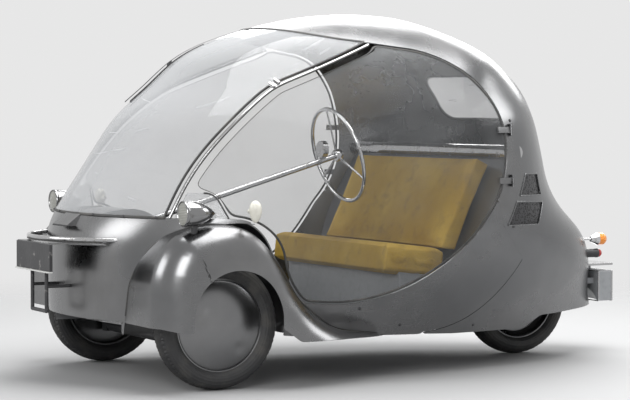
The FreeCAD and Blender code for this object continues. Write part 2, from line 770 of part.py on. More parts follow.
# ---------------------------------------------------------------- seat
tilt = Rotation(Vector(1, 0, 0), -number("cushion_tilt"))
lean = Rotation(Vector(1, 0, 0), -number("back_lean"))
cushion = block("cushion_block", ("bench_width", "cushion_depth", "cushion_thick"),
                ("-bench_width / 2", "bench_front - cushion_thick * sin(cushion_tilt)",
                 "bench_top - cushion_thick * cos(cushion_tilt)"), tilt)
node("seat_cushion", cushion)
BACK_Y = "bench_front + back_place"
BACK_Z = "bench_top - back_place * tan(cushion_tilt) + 3"
back = block("back_block", ("bench_width", "back_thick", "back_height"),
             ("-bench_width / 2", BACK_Y, BACK_Z), lean)
over_cushion = block("cushion_clear", ("bench_width + 20", "cushion_depth + 60", "120"),
                     ("-bench_width / 2 - 10",
                      "bench_front - 120 * sin(cushion_tilt) + 0.5 * sin(cushion_tilt)",
                      "bench_top - 120 * cos(cushion_tilt) + 0.5"), tilt)
node("seat_back", cut("back_cut", back, over_cushion))
base = block("base_block", ("bench_width - 60", "bulkhead_y - bench_front - 70", "400"),
             ("-bench_width / 2 + 30", "bench_front + 60", "floor_height + floor_sheet"))
node("seat_base", cut("base_cut", base, block("base_clear", ("bench_width + 20", "cushion_depth + 90", "300"),
     ("-bench_width / 2 - 10", "bench_front - cushion_thick * sin(cushion_tilt)",
      "bench_top - cushion_thick * cos(cushion_tilt)"), tilt)))

# The bulkhead stands behind the seat back and the shelf runs back from it.
SHELF_FRONT = number("shelf_front")
SHELF = number("shelf_height")
RAIL = number("rail_diameter")
bulk_foot = number("bulkhead_y")
bulkhead = across(outline([
    (SHELF_FRONT, SHELF - RAIL * 0.3),
    (SHELF_FRONT + SHEET, SHELF - RAIL * 0.3),
    (bulk_foot + SHEET, 460),
    (bulk_foot + SHEET, FLOOR + SHEET),
    (bulk_foot, FLOOR + SHEET),
    (bulk_foot, 460),
]), -FAR, FAR)
shelf = Part.makeBox(2 * FAR, FAR, SHEET, Vector(-FAR, SHELF_FRONT, SHELF))
rail = Part.makeCylinder(RAIL / 2, 2 * FAR, Vector(-FAR, SHELF_FRONT, SHELF), Vector(1, 0, 0))
rail = rail.cut(Part.makeCylinder(RAIL / 2 - SHEET, 2 * FAR, Vector(-FAR, SHELF_FRONT, SHELF),
                                  Vector(1, 0, 0)))
bulk_shape = bulkhead.fuse(shelf).fuse(rail).common(inner).removeSplitter()
node("bulkhead_shelf", feature("shape_bulkhead_shelf", bulk_shape))

# ---------------------------------------------------------------- steering
helm_turn = Rotation(Vector(1, 0, 0), number("column_slope") - 90)
HELM = ("column_x", "helm_y", "helm_z")


def down_column(distance):
    """A point on the steering axis, a distance below the wheel's centre."""
    return ("column_x", f"helm_y - ({distance}) * cos(column_slope)",
            f"helm_z - ({distance}) * sin(column_slope)")


rim = doc.addObject("Part::Torus", "helm_rim")
bind(rim, Radius1="helm_diameter / 2", Radius2="helm_rim / 2")
place(rim, HELM, helm_turn)
helm = [rim, rod("helm_hub", "46", "34", down_column("17"), helm_turn),
        rod("helm_shaft", "shaft_diameter", "jacket_length + 20",
            down_column("jacket_length + 30"), helm_turn)]
for i in range(3):
    angle = 90 + 120 * i
    along = Rotation(Vector(0, 0, 1), angle).multiply(ALONG_X)
    helm.append(rod(f"helm_spoke_{i}", "9", "helm_diameter / 2", HELM, helm_turn.multiply(along)))
node("steering_wheel", fuse("helm_fused", helm))

jacket = rod("jacket_tube", "column_diameter", "jacket_length", down_column("jacket_length + 22"), helm_turn)
jacket_bore = rod("jacket_bore", "shaft_diameter + 2 * running_fit", "jacket_length + 20",
                  down_column("jacket_length + 32"), helm_turn)
dial = rod("dial_case", "64", "22", ("column_x", "helm_y - 78", "helm_z + 22"), ALONG_Y)
dial_foot = block("dial_foot", ("10", "18", "44"), ("column_x - 5", "helm_y - 76", "helm_z - 26"))
node("steering_column", cut("column_cut", fuse("column_fused", [jacket, dial, dial_foot]), jacket_bore))

gear_case = Part.makeBox(90, 300, 110, Vector(number("column_x") - 45, -400, number("gear_case_z")))
gear_shape = gear_case.common(inner)
slope = math.radians(number("column_slope"))
bore_axis = Vector(0, math.cos(slope), math.sin(slope))
helm_spot = Vector(number("column_x"), number("helm_y"), number("helm_z"))
low_end = number("jacket_length") + 22
FIT = number("running_fit")
shaft_bore = Part.makeCylinder(number("column_diameter") / 2 + FIT, 600,
                               helm_spot - bore_axis * low_end, bore_axis)
shaft_tip = Part.makeCylinder(number("shaft_diameter") / 2 + FIT, 900,
                              helm_spot - bore_axis * (low_end + 30), bore_axis)
node("steering_gear", feature("shape_steering_gear", gear_shape.cut(shaft_bore).cut(shaft_tip)))

pedals = []
for i, name in enumerate(("brake", "speed")):
    pedals.append(block("pedal_arm_" + name, ("10", "12", "95"),
                        (f"column_x - 95 + 90 * {i}", "pedal_y", "floor_height + floor_sheet")))
    pedals.append(block("pedal_pad_" + name, ("62", "8", "60"),
                        (f"column_x - 121 + 90 * {i}", "pedal_y + 8", "floor_height + floor_sheet + 60"),
                        Rotation(Vector(1, 0, 0), 20)))
node("pedals", fuse("pedals_fused", pedals))

# ---------------------------------------------------------------- headlamps
SIDES = (("left", "1"), ("right", "-1"))
bowls = {}
for name, sign in SIDES:
    bowl = turned("lamp_bowl_" + name, [
        ("0", "0"),
        ("0", "lamp_diameter / 2 - 4"),
        ("-6", "lamp_diameter / 2 - 4"),
        ("-6", "lamp_diameter / 2"),
        ("8", "lamp_diameter / 2"),
        ("lamp_length", "0", "lamp_round", -1),
    ], (f"{sign} * lamp_x", "lamp_y + 6", "lamp_z"), TO_REAR)
    foot = rod("lamp_foot_" + name, "24", "lamp_diameter",
               (f"{sign} * lamp_x", "lamp_y + 46", "lamp_z - lamp_diameter"))
    bowls[name] = fuse("lamp_solid_" + name, [bowl, foot])
doc.recompute()
body_and_fenders = outer.fuse([fender_solid, flipped(fender_solid)])
for name in bowls:
    seated = bowls[name].Shape.cut(body_and_fenders)
    node("headlamp_" + name, feature("shape_headlamp_" + name, seated))
lenses = [rod("lens_" + name, "lamp_diameter - 8", "4", (f"{sign} * lamp_x", "lamp_y + 2", "lamp_z"), ALONG_Y)
          for name, sign in SIDES]
node("headlamp_lenses", fuse("lenses_fused", lenses))


def largest(shape):
    """The largest solid of a shape, without the offcuts of a cut."""
    return max(shape.Solids, key=lambda piece: piece.Volume)


# ---------------------------------------------------------------- nose fittings
# A bent bar runs round the nose. Below it a thin shelf fills the room up to the
# nose, and the plate's board hangs from the shelf's straight front edge.
PLATE_Y = number("plate_face")
PLATE_W = number("plate_width")
PLATE_LOW = number("plate_low")
PLATE_TALL = number("plate_height")
BAR_R = number("nose_bar_radius")
BAR_Z = number("nose_bar_height")
BOARD = 12
SHELF_SHEET = 3
bar_centre = PLATE_Y + BOARD + BAR_R
shelf_z = PLATE_LOW + PLATE_TALL
board = Part.makeBox(PLATE_W, BOARD, PLATE_TALL, Vector(-PLATE_W / 2, PLATE_Y, PLATE_LOW))
lip = Part.makeBox(PLATE_W, BOARD + 8, 5, Vector(-PLATE_W / 2, PLATE_Y - 8, PLATE_LOW - 5))
ledge = Part.makeBox(PLATE_W, 3 * BOARD, SHELF_SHEET, Vector(-PLATE_W / 2, PLATE_Y, shelf_z))
crescent = Part.makeCylinder(BAR_R - 8, SHELF_SHEET, Vector(0, bar_centre, shelf_z))
crescent = crescent.common(Part.makeBox(2 * FAR, FAR, FAR, Vector(-FAR, -FAR - 250, 0)))
plate = board.fuse([lip, ledge, crescent]).cut(outer).removeSplitter()
node("front_plate", feature("shape_front_plate", largest(plate)))

bar = Part.makeTorus(BAR_R, number("nose_bar_diameter") / 2, Vector(0, bar_centre, BAR_Z))
bar = bar.common(Part.makeBox(2 * FAR, FAR, FAR, Vector(-FAR, -FAR - 200, 0))).cut(body_and_fenders)
node("nose_bar", feature("shape_nose_bar", largest(bar)))

GUARD = number("guard_spread")
GUARD_DROP = number("guard_drop")
GUARD_R = number("guard_tube") / 2
GUARD_Y = PLATE_Y + BOARD + 2 * GUARD_R
GUARD_LOW = PLATE_LOW - GUARD_DROP
guard_parts = [Part.makeCylinder(GUARD_R, 2 * GUARD, Vector(-GUARD, GUARD_Y, GUARD_LOW), Vector(1, 0, 0))]
for x in (-GUARD, GUARD):
    foot = Vector(x, GUARD_Y, GUARD_LOW)
    guard_parts += [
        Part.makeSphere(GUARD_R, foot),
        Part.makeCylinder(GUARD_R, shelf_z - foot.z, foot),
        Part.makeCylinder(GUARD_R - 1, 160, Vector(x, GUARD_Y, PLATE_LOW - 60), Vector(0, 1, 0)),
    ]
guard = guard_parts[0].fuse(guard_parts[1:]).cut(outer)
node("nose_guard", feature("shape_nose_guard", largest(guard)))

FLAP = number("flap_half")
FLAP_LOW = number("flap_low")
FLAP_TOP = FLAP_LOW + number("flap_tall")
FLAP_LIP = -number("flap_lip") * NOSE
flap = across(outline([
    (FLAP_LIP, FLAP_LOW + 4), (FLAP_LIP + 4, FLAP_LOW), (FLAP_LIP + 90, FLAP_LOW),
    (FLAP_LIP + 90, FLAP_TOP), (FLAP_LIP + 52, FLAP_TOP),
]), -FLAP, FLAP)
node("nose_flap", feature("shape_nose_flap", largest(flap.cut(outer))))

# ---------------------------------------------------------------- tail fittings
REAR_W = number("rear_plate_width")
REAR_DEEP = number("rear_plate_deep")
REAR_FACE = number("tail_reach + rear_plate_stand")
REAR_LOW = number("rear_plate_low")
REAR_TOP = REAR_LOW + number("rear_plate_height")
HOOD_Z = REAR_TOP + number("hood_gap")
rear_box = Part.makeBox(REAR_W, REAR_DEEP, REAR_TOP - REAR_LOW,
                        Vector(-REAR_W / 2, REAR_FACE - REAR_DEEP, REAR_LOW))
hood = Part.makeBox(REAR_W - 30, 250, 8, Vector(15 - REAR_W / 2, REAR_FACE - 240, HOOD_Z))
strut = Part.makeBox(20, 100, HOOD_Z - REAR_TOP + 8, Vector(-10, REAR_FACE - 100, REAR_TOP - 4))
arms = [Part.makeBox(24, 200, 24, Vector(x - 12, REAR_FACE - 230, REAR_TOP - 52)) for x in (-120, 120)]
rear_plate = rear_box.fuse([hood, strut] + arms).cut(outer).removeSplitter()
node("rear_plate_box", feature("shape_rear_plate_box", largest(rear_plate)))

LAMP_BACK = "tail_reach - 183"
RED_BACK = "tail_reach - 213"
lamp_cases = []
lamp_glasses = []
for name, sign in SIDES:
    amber_at = (f"{sign} * indicator_x", LAMP_BACK, "indicator_z")
    red_at = (f"{sign} * indicator_x", RED_BACK, "red_lamp_z")
    lamp_cases.append(turned("amber_case_" + name, [
        ("0", "0"), ("0", "5"), ("80", "5"), ("80", "11"), ("110", "indicator_round"), ("110", "0"),
    ], amber_at, TO_REAR))
    lamp_cases.append(turned("red_case_" + name, [
        ("0", "0"), ("0", "red_lamp_round"), ("142", "red_lamp_round"), ("142", "0"),
    ], red_at, TO_REAR))
    lamp_glasses.append(turned("amber_glass_" + name, [
        ("110", "0"), ("110", "indicator_round"), ("130", "indicator_round"),
        ("130 + indicator_round", "0", "indicator_round", -1),
    ], amber_at, TO_REAR))
    lamp_glasses.append(turned("red_glass_" + name, [
        ("142", "0"), ("142", "red_lamp_round"), ("146", "red_lamp_round"),
        ("146 + red_lamp_round", "0", "red_lamp_round", -1),
    ], red_at, TO_REAR))
doc.recompute()
cases = [largest(case.Shape.cut(outer)) for case in lamp_cases]
node("tail_lamps", feature("shape_tail_lamps", Part.makeCompound(cases)))
node("tail_lenses", fuse("tail_lenses_fused", lamp_glasses))

# ---------------------------------------------------------------- door hardware
HINGE_Y = number("hinge_y")
HINGE_LOW = number("hinge_low")
HINGE_HIGH = number("hinge_high")
HINGE_STAND = number("hinge_stand")
BARREL = number("barrel_diameter")
BARREL_LONG = number("barrel_length")
PIN = number("hinge_pin")
LEAF_IN = number("leaf_stand")
LEAF_OUT = LEAF_IN + number("leaf_sheet")
LEAF_FRONT = HINGE_Y - number("leaf_length")
EAR = 10


def side_at(y, z):
    """How far out the body's left side stands at a station and a height."""
    across_line = Part.makeLine(Vector(0, y, z), Vector(FAR, y, z)).common(outer)
    return max(corner.X for corner in across_line.Vertexes)


hinge_foot = Vector(side_at(HINGE_Y, HINGE_LOW) + HINGE_STAND, HINGE_Y, HINGE_LOW)
hinge_head = Vector(side_at(HINGE_Y, HINGE_HIGH) + HINGE_STAND, HINGE_Y, HINGE_HIGH)
hinge_way = (hinge_head - hinge_foot).normalize()
print("hinge axis through", tuple(hinge_foot), "along", tuple(hinge_way))


def hinge_rod(diameter, middle, low, length):
    return Part.makeCylinder(diameter / 2, length, middle + hinge_way * low, hinge_way)


leaf_shell = form(-LEAF_OUT).cut(form(-LEAF_IN))
foot_shell = form(-LEAF_OUT).cut(outer)
hinges = []
brackets = []
for middle in (hinge_foot, hinge_head):
    band = Vector(400, LEAF_FRONT, middle.z - BARREL_LONG / 2)
    leaf = leaf_shell.common(Part.makeBox(400, HINGE_Y - LEAF_FRONT, BARREL_LONG, band))
    foot = foot_shell.common(Part.makeBox(400, number("leaf_foot"), BARREL_LONG, band))
    barrel = hinge_rod(BARREL, middle, -BARREL_LONG / 2, BARREL_LONG)
    bore = hinge_rod(PIN + 2 * number("running_fit"), middle, -2 * BARREL_LONG, 4 * BARREL_LONG)
    hinges.append(barrel.fuse([leaf, foot]).cut(bore))
    parts = [hinge_rod(PIN, middle, -BARREL_LONG / 2 - EAR, BARREL_LONG + 2 * EAR)]
    for low in (-BARREL_LONG / 2 - EAR - 1, BARREL_LONG / 2 + 1):
        parts.append(hinge_rod(BARREL, middle, low, EAR))
        ear = Vector(middle.x - 60, HINGE_Y - BARREL / 2, middle.z + low)
        parts.append(Part.makeBox(60, BARREL, EAR, ear))
    brackets.append(largest(parts[0].fuse(parts[1:]).cut(outer)))
hinge_pair = Part.makeCompound([largest(hinge) for hinge in hinges])
node("door_hinge_left", feature("shape_door_hinge_left", hinge_pair))
node("door_hinge_right", feature("shape_door_hinge_right", flipped(hinge_pair)))
brackets += [flipped(piece) for piece in brackets]
node("hinge_brackets", feature("shape_hinge_brackets", Part.makeCompound(brackets)))

KNOB_Y = number("knob_y")
KNOB_Z = number("knob_z")
KNOB = Vector(side_at(KNOB_Y, KNOB_Z) + number("knob_reach"), KNOB_Y, KNOB_Z)
stretch = FreeCAD.Matrix()
stretch.scale(22, 22, 39)
egg = Part.makeSphere(1).transformGeometry(stretch).translated(KNOB)
stem = Part.makeCylinder(7, 80, KNOB - Vector(80, 0, 0), Vector(1, 0, 0))
knob = largest(egg.fuse(stem).cut(outer))
node("door_knob_left", feature("shape_door_knob_left", knob))
node("door_knob_right", feature("shape_door_knob_right", flipped(knob)))

# ---------------------------------------------------------------- wiper
# The wiper follows the glass from its post on the roof, parked to the right.
WIPER_Y = number("wiper_y")
WIPER_REACH = number("wiper_reach")
WIPER_STAND = number("wiper_stand")
ARM = 5
BLADE_TOP = 12
SWEEP = number("wiper_sweep")


def wiper_slab(width, near, far):
    """Upright room over the glass, from near to far along the parked wiper."""
    slab = Part.makeBox(width, far - near, FAR, Vector(-width / 2, WIPER_Y - far, HEIGHT - 400))
    return slab.rotated(Vector(0, WIPER_Y, 0), Vector(0, 0, 1), -SWEEP)


above_arm = form(-WIPER_STAND)
above_blade = form(-BLADE_TOP)
arm = above_arm.cut(form(ARM - WIPER_STAND)).common(wiper_slab(8, 0, WIPER_REACH))
blade = above_blade.cut(form(-1)).common(wiper_slab(5, WIPER_REACH * 0.36, WIPER_REACH * 0.96))
link = above_arm.cut(above_blade).common(wiper_slab(5, WIPER_REACH * 0.62, WIPER_REACH * 0.66))
post = above_arm.cut(outer).common(Part.makeCylinder(9, FAR, Vector(0, WIPER_Y, HEIGHT - 400)))
node("wiper", feature("shape_wiper", largest(arm.fuse([blade, link, post]))))

# ---------------------------------------------------------------- check and write
doc.recompute()
os.makedirs("parts", exist_ok=True)
for item in doc.Objects:
    if "Invalid" in item.State or "Error" in item.State:
        raise RuntimeError(f"{item.Label} did not build: {item.State}")
for holder in nodes:
    shape = holder.Shape
    if shape.isNull() or not shape.isValid():
        raise RuntimeError(f"{holder.Label} has no valid shape")
for holder in nodes:
    holder.Shape.exportStep(f"parts/{holder.Label}.step")
    box = holder.Shape.BoundBox
    print(f"{holder.Label:18s} solids {len(holder.Shape.Solids)} volume {holder.Shape.Volume / 1e6:8.3f} l"
          f"  x {box.XMin:.0f} {box.XMax:.0f}  y {box.YMin:.0f} {box.YMax:.0f}  z {box.ZMin:.0f} {box.ZMax:.0f}")
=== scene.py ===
"""An egg-shaped three wheeled car in polished aluminium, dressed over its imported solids.

Metres. X is the car's left, Y its rear and Z up. Shapes are worked out with
Y = 0 at the front axle, and moved to the frame's origin when they are made.
"""
import bmesh
import bpy
import math
import numpy as np
from mathutils import Matrix, Vector


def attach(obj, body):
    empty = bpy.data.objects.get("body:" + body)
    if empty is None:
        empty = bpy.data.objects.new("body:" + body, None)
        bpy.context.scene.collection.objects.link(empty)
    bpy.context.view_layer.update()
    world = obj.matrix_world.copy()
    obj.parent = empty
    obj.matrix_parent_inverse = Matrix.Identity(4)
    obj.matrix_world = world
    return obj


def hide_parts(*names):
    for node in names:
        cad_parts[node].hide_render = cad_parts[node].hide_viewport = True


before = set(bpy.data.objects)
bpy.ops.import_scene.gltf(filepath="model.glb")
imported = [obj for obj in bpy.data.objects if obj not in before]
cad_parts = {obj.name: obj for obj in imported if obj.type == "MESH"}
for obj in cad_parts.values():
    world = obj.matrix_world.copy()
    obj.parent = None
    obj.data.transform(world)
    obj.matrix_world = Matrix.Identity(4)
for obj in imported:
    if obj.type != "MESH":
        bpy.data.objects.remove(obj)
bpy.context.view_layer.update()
FRONT_AXLE = -0.748
SHIFT = np.array([0.0, FRONT_AXLE, 0.0])
TRACK = 1.021
WHEELBASE = 1.611
TYRE_R = 0.2325
UP = np.array([0.0, 0.0, 1.0])


# ---------------------------------------------------------------- shader sums
class Value:
    """A shader socket that takes part in sums, each of which adds a Math node."""

    def __init__(self, finish, socket):
        self.finish = finish
        self.socket = socket

    def math(self, operation, *others):
        inputs = dict(enumerate((self, *others)))
        return self.finish.node("Math", {"operation": operation}, inputs)

    def __add__(self, other):
        return self.math("ADD", other)

    def __mul__(self, other):
        return self.math("MULTIPLY", other)

    def __sub__(self, other):
        return self.math("SUBTRACT", other)

    def __rsub__(self, other):
        return (self * -1.0) + other

    __radd__ = __add__
    __rmul__ = __mul__

    def step(self, low, high, to_low=0.0, to_high=1.0):
        """Runs smoothly from to_low to to_high as the value goes from low to high."""
        inputs = {"Value": self, 1: low, 2: high, 3: to_low, 4: to_high}
        return self.finish.node("MapRange", {"interpolation_type": "SMOOTHSTEP"}, inputs)

    def max(self, other):
        return self.math("MAXIMUM", other)

    def min(self, other):
        return self.math("MINIMUM", other)


class Finish:
    """A material, or the world, that is built up from nodes."""

    def __init__(self, name, world=None):
        self.material = world or bpy.data.materials.new(name)
        self.material.use_nodes = True
        self.tree = self.material.node_tree
        self.tree.nodes.clear()
        self.place = None if world else self.node("TexCoord", {}, {}, "Object")

    def node(self, kind, settings, inputs, output=0):
        """Adds a node, applies its settings, fills its sockets and returns one output."""
        made = self.tree.nodes.new("ShaderNode" + kind)
        for key, setting in settings.items():
            setattr(made, key, setting)
        for key, value in inputs.items():
            if isinstance(value, Value):
                self.tree.links.new(value.socket, made.inputs[key])
            else:
                made.inputs[key].default_value = value
        return Value(self, made.outputs[output]) if made.outputs else None

    def stretched(self, stretch):
        """The place, made finer along an axis by a stretch over 1."""
        return self.node("VectorMath", {"operation": "MULTIPLY"}, {0: self.place, 1: stretch})

    def noise(self, scale, detail=3.0, roughness=0.5, stretch=(1, 1, 1), distort=0.0):
        """Soft random patches."""
        sizes = {"Scale": scale, "Detail": detail, "Roughness": roughness, "Distortion": distort}
        return self.node("TexNoise", {}, {"Vector": self.stretched(stretch), **sizes})

    def cells(self, scale, stretch):
        """Distance to the nearest of many random spots."""
        return self.node("TexVoronoi", {}, {"Vector": self.stretched(stretch), "Scale": scale})

    def waves(self, scale, axis, distort=0.0):
        """Bands across an axis."""
        sizes = {"Scale": scale, "Distortion": distort}
        return self.node("TexWave", {"bands_direction": axis}, {"Vector": self.place, **sizes})

    def reach(self, y=0.0):
        """Distance over the ground from the station y on the middle plane."""
        across, away = self.along(0), self.along(1) - y
        return (across * across + away * away).math("SQRT")

    def along(self, axis):
        """One coordinate of the place: 0, 1 or 2 for X, Y or Z."""
        return self.node("SeparateXYZ", {}, {0: self.place}, axis)

    def blend(self, share, first, second):
        """Colour first where share is 0 and second where it is 1."""
        return self.node("Mix", {"data_type": "RGBA"}, {0: share, 6: first, 7: second}, 2)

    def bump(self, height, distance, strength):
        return self.node("Bump", {}, {"Height": height, "Distance": distance, "Strength": strength})

    def shader(self, **inputs):
        named = {key.replace("_", " "): value for key, value in inputs.items()}
        return self.node("BsdfPrincipled", {}, named)

    def show(self, surface):
        self.node("OutputMaterial", {}, {"Surface": surface})
        return self.material

    def coat(self, **inputs):
        """Shows one plain surface shader."""
        return self.show(self.shader(**inputs))


def rgb(red, green, blue):
    return (red, green, blue, 1.0)


def grey(shade):
    return rgb(shade, shade, shade)


# ---------------------------------------------------------------- finishes
def scratches(finish, scale, stretch, thin=0.06):
    """Fine marks: the thin middle line of a stretched noise, kept in patches."""
    line = (finish.noise(scale, 2.0, 0.5, stretch, 0.6) - 0.5).math("ABSOLUTE").step(0.0, thin, 1.0, 0.0)
    return line * finish.noise(3.1, 2.0).step(0.45, 0.62)


def polished_aluminium(name, shade=0.19, rough=0.22, dents=1.0):
    """Old polished sheet: cloudy polish, hairline scratches, shallow dents and grey stains."""
    finish = Finish(name)
    cloud = finish.noise(2.6, 4.0, 0.5)
    stain = finish.noise(5.0, 4.0, 0.55).step(0.48, 0.80)
    hairs = scratches(finish, 40.0, (1.0, 0.06, 0.9), 0.012)
    hairs = hairs.max(scratches(finish, 36.0, (1.0, 0.8, 0.08), 0.012))
    dark = rgb(shade * 0.82, shade * 0.83, shade * 0.85)
    light = rgb(shade * 1.12, shade * 1.12, shade * 1.13)
    colour = finish.blend(cloud.step(0.3, 0.7), dark, light)
    colour = finish.blend(stain * 0.30, colour, rgb(shade * 0.60, shade * 0.59, shade * 0.57))
    colour = finish.blend(hairs * 0.15, colour, grey(shade * 1.5))
    roughness = cloud.step(0.25, 0.75, rough, rough + 0.08) + stain * 0.08 + hairs * 0.04
    ripple = finish.noise(3.4, 2.0, 0.4) * dents + finish.noise(13.0, 2.0) * (0.08 * dents)
    normal = finish.bump(ripple, 0.012, 0.35)
    return finish.coat(Base_Color=colour, Metallic=1.0, Roughness=roughness, Normal=normal)


def bright_metal(name, shade=0.46, rough=0.12):
    """Plated or polished tube with a few stains and rubbed spots."""
    finish = Finish(name)
    spots = finish.noise(38.0, 4.0, 0.6).step(0.55, 0.72)
    stained = rgb(shade * 0.5, shade * 0.48, shade * 0.45)
    colour = finish.blend(spots * 0.6, rgb(shade, shade, shade * 1.01), stained)
    normal = finish.bump(finish.noise(60.0, 2.0), 0.002, 0.3)
    return finish.coat(Base_Color=colour, Metallic=1.0, Roughness=spots * 0.3 + rough, Normal=normal)


def dark_metal(name, colour=(0.026, 0.026, 0.028), rough=0.42):
    """Dark paint over steel with grime and bare, rubbed patches."""
    finish = Finish(name)
    worn = finish.noise(26.0, 5.0, 0.62).step(0.60, 0.72)
    dust = finish.noise(8.0, 3.0).step(0.35, 0.75)
    base = finish.blend(dust * 0.5, rgb(*colour), rgb(*(c + 0.035 for c in colour)))
    base = finish.blend(worn, base, rgb(0.34, 0.33, 0.32))
    normal = finish.bump(finish.noise(90.0, 3.0), 0.002, 0.4)
    return finish.coat(Base_Color=base, Metallic=worn * 0.8, Roughness=dust * 0.2 + rough, Normal=normal)


def rubber(name):
    """Black rubber with dust in patches."""
    finish = Finish(name)
    dust = finish.noise(14.0, 4.0).step(0.4, 0.75)
    base = finish.blend(dust * 0.6, grey(0.03), rgb(0.12, 0.115, 0.105))
    normal = finish.bump(finish.noise(160.0, 2.0), 0.001, 0.5)
    return finish.coat(Base_Color=base, Roughness=dust * 0.2 + 0.6, Normal=normal)


WIPER_Y = -0.364


def clear_sheet(name, haze, edge, arcs=0.0):
    """Clear plastic: it mirrors more at a slant, with a milky haze and long, faint wiper arcs.

    The arcs are thin rings round the wiper's pivot, broken up by soft noise.
    """
    finish = Finish(name)
    cloud = finish.noise(3.0, 4.0).step(0.4, 0.8)
    facing = finish.node("LayerWeight", {}, {"Blend": 0.42}, "Facing")
    veil = facing.step(0.20, 1.0, haze, edge) + cloud * 0.04
    if arcs:
        rings = (finish.reach(WIPER_Y) * 19.0 + finish.noise(2.0, 2.0) * 2.6).math("FRACT")
        hair = (rings - 0.5).math("ABSOLUTE").step(0.0, 0.03, 1.0, 0.0)
        veil = veil + hair * finish.noise(7.0, 2.0).step(0.56, 0.68) * arcs
    gloss = finish.shader(Base_Color=rgb(0.50, 0.51, 0.52), Metallic=0.0, Roughness=cloud * 0.06 + 0.05)
    clear = finish.node("BsdfTransparent", {}, {"Color": grey(0.93)})
    return finish.show(finish.node("MixShader", {}, {0: veil.min(1.0), 1: clear, 2: gloss}))


def seat_cloth(name):
    """Mustard cloth: a plain weave of crossing threads, faded and soiled in patches."""
    finish = Finish(name)
    weave = finish.waves(160.0, "X", 1.2).max(finish.waves(160.0, "Z", 1.2))
    fade = finish.noise(5.0, 4.0).step(0.3, 0.75)
    soil = finish.noise(16.0, 5.0, 0.65).step(0.50, 0.72)
    colour = finish.blend(fade, rgb(0.42, 0.255, 0.025), rgb(0.58, 0.385, 0.060))
    colour = finish.blend(soil * 0.5, colour, rgb(0.22, 0.15, 0.05))
    colour = finish.blend((1.0 - weave) * 0.25, colour, rgb(0.20, 0.13, 0.03))
    normal = finish.bump(weave * 0.6 + finish.noise(30.0, 3.0) * 0.6, 0.0015, 0.6)
    return finish.coat(Base_Color=colour, Roughness=0.85, Normal=normal)


def tyre_finish(name):
    """Tyre rubber, duller and with more dust than the seals."""
    finish = Finish(name)
    dust = finish.noise(12.0, 5.0, 0.6).step(0.42, 0.75)
    base = finish.blend(dust * 0.7, rgb(0.022, 0.022, 0.023), rgb(0.085, 0.08, 0.072))
    normal = finish.bump(finish.noise(140.0, 3.0), 0.0012, 0.6)
    return finish.coat(Base_Color=base, Roughness=dust * 0.2 + 0.55, Normal=normal)


def perforated(name):
    """Sheet with rows of round holes, painted near black: painted shade for the dark inside seen through them.
    """
    finish = Finish(name)
    shaded_holes = finish.cells(150.0, (0.0, 1.0, 1.0)).step(0.40, 0.50, 1.0, 0.0)
    # The holes' near black is painted shade of the inside behind the sheet.
    base = finish.blend(shaded_holes, rgb(0.075, 0.075, 0.078), grey(0.003))
    return finish.coat(Base_Color=base, Metallic=1.0 - shaded_holes, Roughness=shaded_holes * 0.5 + 0.35)


def lamp_colour(name, colour, rough=0.12):
    """A ribbed, coloured lens."""
    finish = Finish(name)
    ribs = finish.waves(55.0, "Z")
    grime = finish.noise(30.0, 3.0).step(0.5, 0.75)
    base = finish.blend(grime * 0.4, rgb(*colour), rgb(*(c * 0.4 for c in colour)))
    normal = finish.bump(ribs, 0.002, 0.5)
    return finish.coat(Base_Color=base, Roughness=grime * 0.2 + rough, Normal=normal)


def plain_gloss(name, colour, rough=0.2):
    """Moulded plastic with faint mottling and wear."""
    finish = Finish(name)
    mottle = finish.noise(45.0, 3.0)
    base = finish.blend(mottle.step(0.45, 0.8) * 0.35, rgb(*colour), rgb(*(c * 0.62 for c in colour)))
    normal = finish.bump(mottle, 0.001, 0.3)
    return finish.coat(Base_Color=base, Roughness=mottle * 0.15 + rough, Normal=normal)


ALUMINIUM = polished_aluminium("polished_aluminium")
CAP_METAL = polished_aluminium("wheel_aluminium", 0.20, 0.26, 0.5)
FLOOR_METAL = polished_aluminium("floor_aluminium", 0.22, 0.30, 0.5)
BRIGHT = bright_metal("bright_metal")
CHROME = bright_metal("chrome", 0.58, 0.06)
LAMP_SHELL = bright_metal("lamp_shell", 0.26, 0.14)
DARK = dark_metal("dark_painted_steel")
BLACK_RUBBER = rubber("black_rubber")
SCREEN_PLASTIC = clear_sheet("screen_plastic", 0.20, 0.72, 0.5)
DOOR_PLASTIC = clear_sheet("door_plastic", 0.05, 0.34)
CLOTH = seat_cloth("mustard_cloth")
TYRE = tyre_finish("tyre_rubber")
MESH_SHEET = perforated("perforated_sheet")
AMBER = lamp_colour("amber_lens", (0.86, 0.28, 0.03))
RED = lamp_colour("red_lens", (0.42, 0.02, 0.015))
LAMP_GLASS = lamp_colour("lamp_lens", (0.30, 0.30, 0.27), 0.08)
IVORY = plain_gloss("ivory_plastic", (0.72, 0.70, 0.62))
GREY_PAINT = plain_gloss("grey_paint", (0.30, 0.31, 0.32), 0.35)
PALE_PAINT = plain_gloss("pale_paint", (0.62, 0.62, 0.60), 0.4)


# ---------------------------------------------------------------- meshes
def added(name, data):
    """Puts a new object into the scene."""
    made = bpy.data.objects.new(name, data)
    bpy.context.scene.collection.objects.link(made)
    return made


def merged(mesh):
    """A working copy of a mesh with its doubled points merged."""
    work = bmesh.new()
    work.from_mesh(mesh)
    bmesh.ops.remove_doubles(work, verts=work.verts, dist=2e-5)
    return work


def put_back(work, mesh, sharp):
    """Writes the working copy back, smooth but for edges over an angle in degrees."""
    work.to_mesh(mesh)
    work.free()
    mesh.shade_smooth()
    mesh.set_sharp_from_angle(angle=math.radians(sharp))


def bevelled(made, width):
    """Rounds the sharp edges over a width, if there is one."""
    if width:
        edge = made.modifiers.new("edge", "BEVEL")
        edge.width = width
        edge.segments = 2
        edge.limit_method = "ANGLE"
        edge.harden_normals = True


